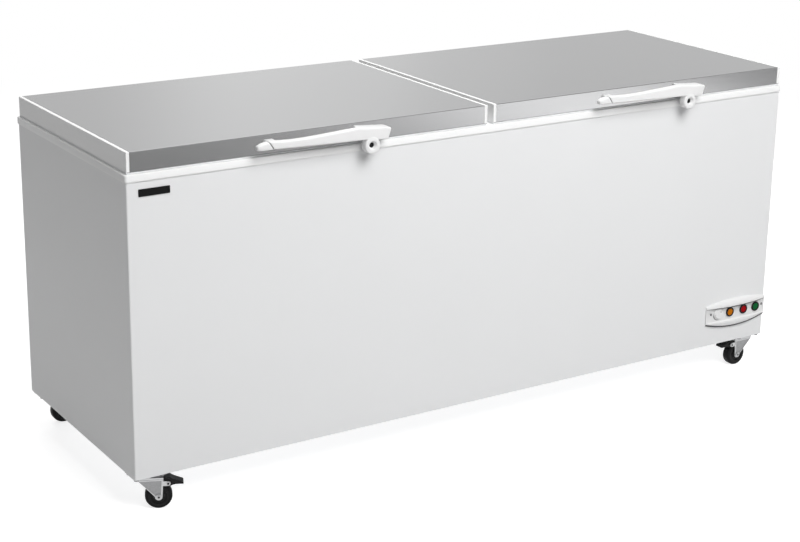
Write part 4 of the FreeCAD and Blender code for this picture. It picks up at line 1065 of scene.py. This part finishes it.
# Lights: power in watts, size and places in metres
ambient = 0.2
lights = {"keyLight": {"power": 232, "size": 2.8, "at": (0.2, -3.5, 4.2), "aim": (0.1, 0, 0.5)},
          "topLight": {"power": 40, "size": 3.0, "at": (0.3, 0.6, 4.4), "aim": (0, 0, 0.8)},
          "rearLight": {"power": 180, "size": 4.0, "at": (0.4, 5.6, 4.6), "aim": (0, 0.3, 0.5)}}
for name, light in lights.items():
    data = bpy.data.lights.new(name, "AREA")
    data.energy = light["power"]
    data.shape = "SQUARE"
    data.size = light["size"]
    thing = linked(name, data)
    thing.location = light["at"]
    thing.rotation_euler = (Vector(light["aim"]) - Vector(light["at"])).to_track_quat("-Z", "Y").to_euler()
    thing.visible_glossy = name == "topLight"  # the lids mirror only this one

# Cards out of view, which only the steel mirrors: one on the floor for the lids' front folds, dark, bright
# and dark again along them, one standing behind for the lid tops, and a dark ceiling for the bends between
cards = {"floorCard": {"x": (-0.9, 4.9), "y": (-4.6, -2.2), "z": (0.004, 0.004),
                       "tones": ((0, 0.24), (0.24, 0.35), (0.42, 0.72), (0.55, 2.0), (0.68, 2.55),
                                 (0.78, 0.2), (1, 0.12))},
         "backCard": {"x": (-1.0, 8.0), "y": (5.0, 5.0), "z": (0.6, 4.2),
                      "tones": ((0, 0.78), (0.22, 0.78), (0.34, 1.05), (0.44, 0.98), (0.5, 0.86),
                                (0.61, 0.79), (1, 0.78))},
         "ceilingCard": {"x": (-9.0, 9.0), "y": (-9.0, -0.3), "z": (5.6, 5.6),
                         "tones": ((0, 0.12), (1, 0.12))}}


def makeCard(name):
    (x0, x1), (y0, y1), (z0, z1), tones = (cards[name][k] for k in ("x", "y", "z", "tones"))
    mat, tree = bareMaterial(name)
    join = tree.links.new
    out = addNode(tree, "ShaderNodeOutputMaterial", (700, 0))
    glow = addNode(tree, "ShaderNodeEmission", (500, 0))
    coords = addNode(tree, "ShaderNodeTexCoord", (-700, 0))
    apart = addNode(tree, "ShaderNodeSeparateXYZ", (-500, 0))
    along = addNode(tree, "ShaderNodeMapRange", (-300, 0), {"From Min": x0, "From Max": x1})
    ramp = addNode(tree, "ShaderNodeValToRGB", (0, 0))
    ramp.color_ramp.interpolation = "EASE"
    steps = ramp.color_ramp.elements
    while len(steps) < len(tones):
        steps.new(0.5)
    for step, (place, tone) in zip(steps, tones):
        step.position = place
        step.color = (tone, tone, tone, 1)
    join(coords.outputs["Object"], apart.inputs[0])
    join(apart.outputs["X"], along.inputs["Value"])
    join(along.outputs["Result"], ramp.inputs[0])
    join(ramp.outputs["Color"], glow.inputs["Color"])
    join(glow.outputs[0], out.inputs[0])
    thing = flatSheet(name, mat, [(x0, y0, z0), (x1, y0, z0), (x1, y1, z1), (x0, y1, z1)])
    for ray in ("camera", "diffuse", "transmission", "volume_scatter", "shadow"):
        setattr(thing, "visible_" + ray, False)


for name in cards:
    makeCard(name)

# Sky: white to the camera and in mirror images, dim as a light
world = bpy.data.worlds.new("studioWorld")
bpy.context.scene.world = world
world.use_nodes = True
sky = world.node_tree
sky.nodes.clear()
skyOut = addNode(sky, "ShaderNodeOutputWorld", (600, 0))
skyGlow = addNode(sky, "ShaderNodeBackground", (300, 0), {"Color": (1, 1, 1, 1)})
skyPower = addNode(sky, "ShaderNodeMapRange", (0, 0), {"To Min": ambient})
sky.links.new(anyRay(sky, (-700, 0)), skyPower.inputs["Value"])
sky.links.new(skyPower.outputs["Result"], skyGlow.inputs["Strength"])
sky.links.new(skyGlow.outputs[0], skyOut.inputs[0])

# Camera at the photograph's place: a little above the lids, to the left of the front
eye = {"at": (-2.5221, -3.8394, 1.8617), "yaw": 32.684, "pitch": 16.593, "roll": -0.836, "focal": 1751.0,
       "shift": -0.06, "wide": 800, "sensor": 36, "far": 100}  # the focal length is in pixels, 800 wide


def makeCamera():
    yaw, pitch, roll = (math.radians(eye[k]) for k in ("yaw", "pitch", "roll"))
    ahead = Vector((math.sin(yaw), math.cos(yaw), 0))
    right = Vector((math.cos(yaw), -math.sin(yaw), 0))
    down = Vector((0, 0, -1))
    look = ahead * math.cos(pitch) + down * math.sin(pitch)
    low = down * math.cos(pitch) - ahead * math.sin(pitch)
    side = right * math.cos(roll) + low * math.sin(roll)
    low = low * math.cos(roll) - right * math.sin(roll)
    data = bpy.data.cameras.new("eye")
    data.sensor_width = eye["sensor"]
    data.lens = eye["focal"] * eye["sensor"] / eye["wide"]
    data.shift_y = eye["shift"]
    data.clip_end = eye["far"]
    thing = linked("eye", data)
    turn = Matrix((side, -low, -look)).transposed()
    thing.matrix_world = Matrix.Translation(Vector(eye["at"])) @ turn.to_4x4()
    bpy.context.scene.camera = thing


makeCamera()
bpy.context.scene.view_settings.view_transform = "Standard"
print("stage, lights and camera set")
